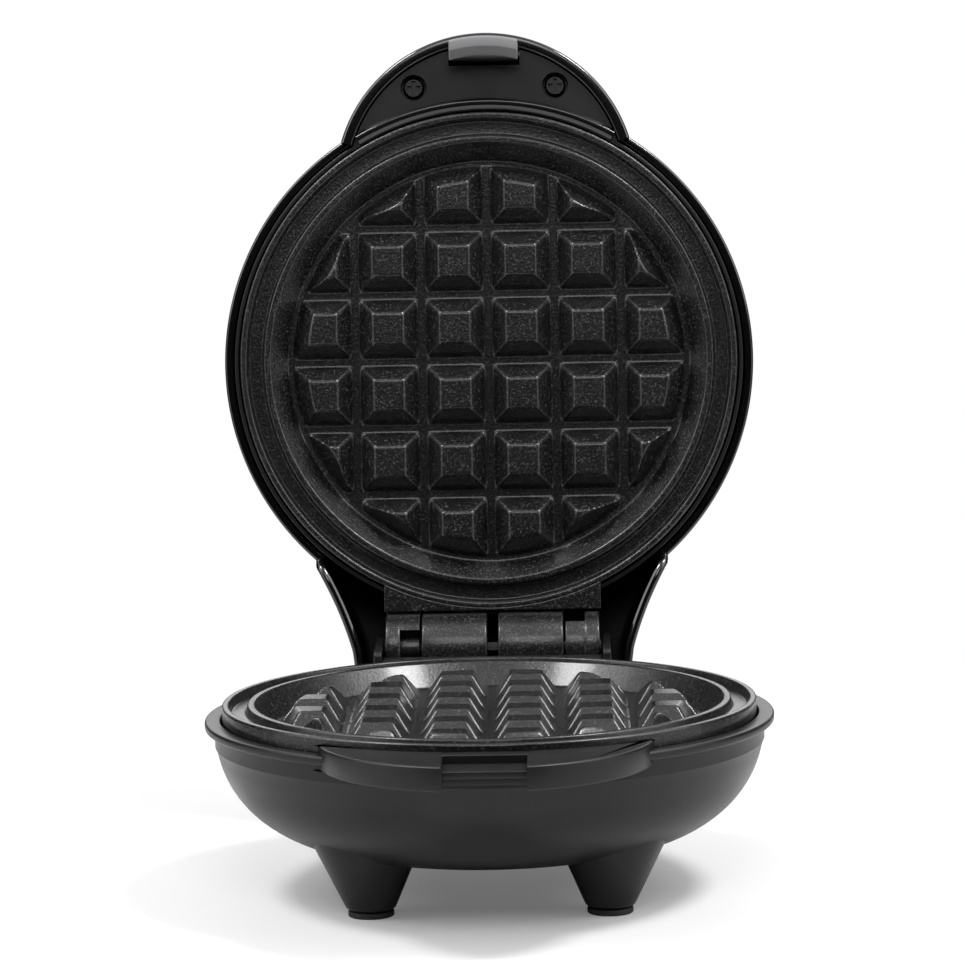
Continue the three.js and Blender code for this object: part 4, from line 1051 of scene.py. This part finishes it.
class WAFFLE_OT_base(Step, Operator):
    """Build the bowl with its flange, front lip, legs and hinge cradle"""
    bl_idname = "waffle.base"
    bl_label = "Base shell"

    def build(self, scene):
        base, hinge, lid = scene.waffle_base, scene.waffle_hinge, scene.waffle_lid
        shell = Surface()
        base_bowl(shell, base, hinge)
        front_lip(shell, base, lid)
        hinge_cradle(shell, base, hinge)
        gland_boss(shell, base)
        low = -base.ground + base.pad_height + PAD_GAP
        for foot, head in leg_pairs():
            leg(shell, (*foot, low, FOOT_RADIUS), head)
        shell.finish("base_shell_look", to_base, "base", "satin_black", ["base_shell"])
        for number, (foot, _) in enumerate(leg_pairs(), 1):
            pad = Surface()
            rubber_pad(pad, foot, base)
            pad.finish(f"foot_pad_{number}_look", to_base, "base", "rubber", [f"foot_pad_{number}"])


class WAFFLE_OT_lid(Step, Operator):
    """Build the lid's cover, frame and handle"""
    bl_idname = "waffle.lid"
    bl_label = "Lid"

    def build(self, scene):
        lid, plate = scene.waffle_lid, scene.waffle_plate
        cover = Surface()
        lid_dome(cover, lid)
        lid_handle(cover, lid)
        cover.finish("lid_cover_look", to_lid, "lid", "gloss_black", ["lid_cover"])
        tail = Surface()
        lid_tail(tail, lid)
        made = tail.finish("lid_tail_look", to_lid, "lid", "gloss_black")
        # Painted shade: the tail's inner side takes the darker, duller black, for the shade inside the tail
        made.data.materials.append(finish_for("painted_shade_inside"))
        wall = made.modifiers.new("Wall", "SOLIDIFY")
        wall.material_offset = 1
        wall.thickness = lid.tail_wall * MM
        wall.offset = -1
        inside = Surface()
        lid_crescent(inside, lid, plate)
        lid_ring(inside, plate)
        inside.finish("lid_frame_look", to_lid, "lid", "satin_black", ["lid_frame"])
        bead = Surface()
        lid_bead(bead, lid, plate)
        bead.finish("lid_bead_look", to_lid, "lid", "gloss_black")


class WAFFLE_OT_latch(Step, Operator):
    """Build the latch clip"""
    bl_idname = "waffle.latch"
    bl_label = "Latch"

    def build(self, scene):
        clip = Surface()
        latch_body(clip, scene.waffle_lid)
        clip.finish("latch_clip_look", to_lid, "latch", "grey_plastic", ["latch_clip"])


# Name, place, height of the point on the axis that it faces, side and power of each square lamp
LAMPS = (
    ("Top right", (0.42, -0.12, 0.85), 0.05, 0.17, 4.8),
    ("Top left", (-0.42, -0.12, 0.85), 0.05, 0.17, 3.6),
    ("Left", (-0.7, -0.15, 0.6), 0.04, 0.6, 3),
    ("Right", (0.7, -0.15, 0.6), 0.04, 0.6, 3),
    ("Front", (0, -0.85, 0.75), 0.12, 0.4, 2.3),
    ("Behind", (0, 0.8, 0.5), 0.08, 0.6, 1.5),
)

# Name, place, target, width and height of each black card
CARDS = (
    ("Card behind camera", (0, -1.3, 0.4), (0, 0, 0.1), 2.6, 1.3),
    ("Card behind", (0, 0.5, 0.05), (0, 0, 0.05), 1.6, 0.1),
    ("Card left", (-0.5, 0.32, 0.2), (0, 0.1, 0.12), 0.55, 0.5),
    ("Card right", (0.5, 0.32, 0.2), (0, 0.1, 0.12), 0.55, 0.5),
)


def put_on_stage(name, data, place, target=None):
    """Makes a stage object at a place, facing the target if there is one."""
    thing = bpy.data.objects.new(name, data)
    bpy.context.collection.objects.link(thing)
    thing.location = place
    if target is not None:
        thing.rotation_euler = (Vector(target) - Vector(place)).to_track_quat("-Z", "Y").to_euler()
    return thing


def area_lamp(name, place, target, side, power):
    """Plain white square lamp."""
    lamp = bpy.data.lights.new(name, "AREA")
    lamp.shape = "RECTANGLE"
    lamp.size = lamp.size_y = side
    lamp.energy = power
    put_on_stage(name, lamp, place, target)


def dark_card(name, place, target, width, height, material):
    """Black card: seen in reflections, but not by the camera."""
    corners = [(x * width / 2, y * height / 2, 0) for x, y in ((-1, -1), (1, -1), (1, 1), (-1, 1))]
    mesh = bpy.data.meshes.new(name)
    mesh.from_pydata(corners, [], [[0, 1, 2, 3]])
    mesh.materials.append(material)
    put_on_stage(name, mesh, place, target).visible_camera = False


class WAFFLE_OT_stage(Step, Operator):
    """Set up the camera, the lamps, the room's light and the white floor"""
    bl_idname = "waffle.stage"
    bl_label = "Stage"

    def build(self, scene):
        stage = scene.waffle_stage
        self.camera(scene, stage)
        self.room(scene, stage)
        self.floor(stage)
        for name, place, height, side, power in LAMPS:
            area_lamp(name, place, (0, 0, height), side, power)
        black = plastic("card", (0.004, 0.004, 0.004), 0.9, Specular_IOR_Level=0.0)
        for card in CARDS:
            dark_card(*card, black)
        scene.view_settings.view_transform = "Standard"

    def camera(self, scene, stage):
        """Camera at its distance and height, tilted and rolled as the photograph's was."""
        round_z = Matrix.Rotation(math.radians(stage.azimuth), 3, "Z")
        height, pitch = math.radians(stage.elevation), math.radians(stage.pitch)
        yaw, roll = math.radians(stage.yaw), math.radians(stage.roll)
        place = Vector(to_base(np.zeros(3))) + stage.distance * (
            round_z @ Vector((0, -math.cos(height), math.sin(height))))
        ahead = round_z @ Vector((math.sin(yaw) * math.cos(pitch), math.cos(yaw) * math.cos(pitch),
                                  -math.sin(pitch)))
        right = ahead.cross(Vector((0, 0, 1))).normalized()
        up = right.cross(ahead)
        turned = right * math.cos(roll) + up * math.sin(roll)
        risen = -right * math.sin(roll) + up * math.cos(roll)
        data = bpy.data.cameras.new("Camera")
        data.lens = data.sensor_width * stage.focal
        data.clip_start = 0.01
        scene.camera = put_on_stage("Camera", data, place)
        turn = Matrix((turned, risen, -ahead)).transposed().to_4x4()
        scene.camera.matrix_world = Matrix.Translation(place) @ turn

    def room(self, scene, stage):
        """White room, at full strength for the camera, reflections and glass, and dimmer as a light."""
        world = bpy.data.worlds.new("Room")
        world.use_nodes = True
        scene.world = world
        tree = world.node_tree
        seen = tree.nodes.new("ShaderNodeLightPath")
        rays = [Value(tree, seen.outputs[f"Is {kind} Ray"]) for kind in ("Camera", "Glossy", "Transmission")]
        strength = (rays[0] + rays[1] + rays[2]).math("MINIMUM", 1.0) * (1.0 - stage.fill) + stage.fill
        back = next(n for n in tree.nodes if n.type == "BACKGROUND")
        back.inputs["Color"].default_value = (1, 1, 1, 1)
        tree.links.new(strength.socket, back.inputs["Strength"])

    def floor(self, stage):
        """Paper disc that takes the shadow, fades out into the white background and is clear from below."""
        angles = np.linspace(0, 2 * math.pi, 97)[:-1]
        ring = stage.floor_radius * np.stack([np.cos(angles), np.sin(angles), 0 * angles], 1)
        mesh = bpy.data.meshes.new("Floor")
        mesh.from_pydata(ring.tolist(), [], [list(range(len(ring)))])
        paper = Finish("floor_paper", Roughness=0.9, Specular_IOR_Level=0.0, Emission_Strength=1.0)
        fibre = paper.noise(400)
        seen = Value(paper.tree, paper.node("ShaderNodeLightPath").outputs["Is Camera Ray"])
        paper.feed(Base_Color=paper.mix(fibre, tuple(stage.floor), tuple(c * 0.995 for c in stage.floor)),
                   Emission_Color=seen * stage.glow)
        split = paper.node("ShaderNodeSeparateXYZ")
        paper.link(paper.place, split, "Vector")
        x, y = (Value(paper.tree, split.outputs[axis]) for axis in "XY")
        away = (x * x + y * y) ** 0.5
        blend = paper.node("ShaderNodeMixShader")
        faded = away.between(stage.floor_radius * 0.45, stage.floor_radius * 0.95)
        below = Value(paper.tree, paper.node("ShaderNodeNewGeometry").outputs["Backfacing"])
        paper.link(faded.math("MAXIMUM", below), blend, "Fac")
        for made, slot in zip((paper.shader, paper.node("ShaderNodeBsdfTransparent")), blend.inputs[1:]):
            paper.tree.links.new(made.outputs[0], slot)
        out = next(n for n in paper.tree.nodes if n.type == "OUTPUT_MATERIAL")
        paper.tree.links.new(blend.outputs[0], out.inputs["Surface"])
        mesh.materials.append(paper.material)
        put_on_stage("Floor", mesh, (0, 0, -0.00005))


class WAFFLE_PT_panel(Panel):
    """Sizes and steps of the waffle maker"""
    bl_idname = "WAFFLE_PT_panel"
    bl_label = "Waffle maker"
    bl_space_type = "VIEW_3D"
    bl_region_type = "UI"
    bl_category = "Waffle"

    def draw(self, context):
        for step in STEPS:
            self.layout.operator(step.bl_idname)
        for group in GROUPS:
            settings = getattr(context.scene, group)
            for name in settings.bl_rna.properties.keys():
                if name not in ("rna_type", "name"):
                    self.layout.prop(settings, name, text=name.replace("_", " ").capitalize())


GROUPS = {"waffle_plate": PlateSettings, "waffle_hinge": HingeSettings, "waffle_base": BaseSettings,
          "waffle_lid": LidSettings, "waffle_stage": StageSettings}
STEPS = (WAFFLE_OT_frame, WAFFLE_OT_plates, WAFFLE_OT_base, WAFFLE_OT_lid, WAFFLE_OT_latch, WAFFLE_OT_stage)
CLASSES = (*GROUPS.values(), *STEPS, WAFFLE_PT_panel)


def register():
    for item in CLASSES:
        bpy.utils.register_class(item)
    for name, settings in GROUPS.items():
        setattr(bpy.types.Scene, name, PointerProperty(type=settings))


def unregister():
    for name in GROUPS:
        delattr(bpy.types.Scene, name)
    for item in reversed(CLASSES):
        bpy.utils.unregister_class(item)


def main():
    """Registers the add-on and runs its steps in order."""
    register()
    bpy.ops.waffle.frame()
    bpy.ops.waffle.plates()
    bpy.ops.waffle.base()
    bpy.ops.waffle.lid()
    bpy.ops.waffle.latch()
    bpy.ops.waffle.stage()


if __name__ == "__main__":
    main()
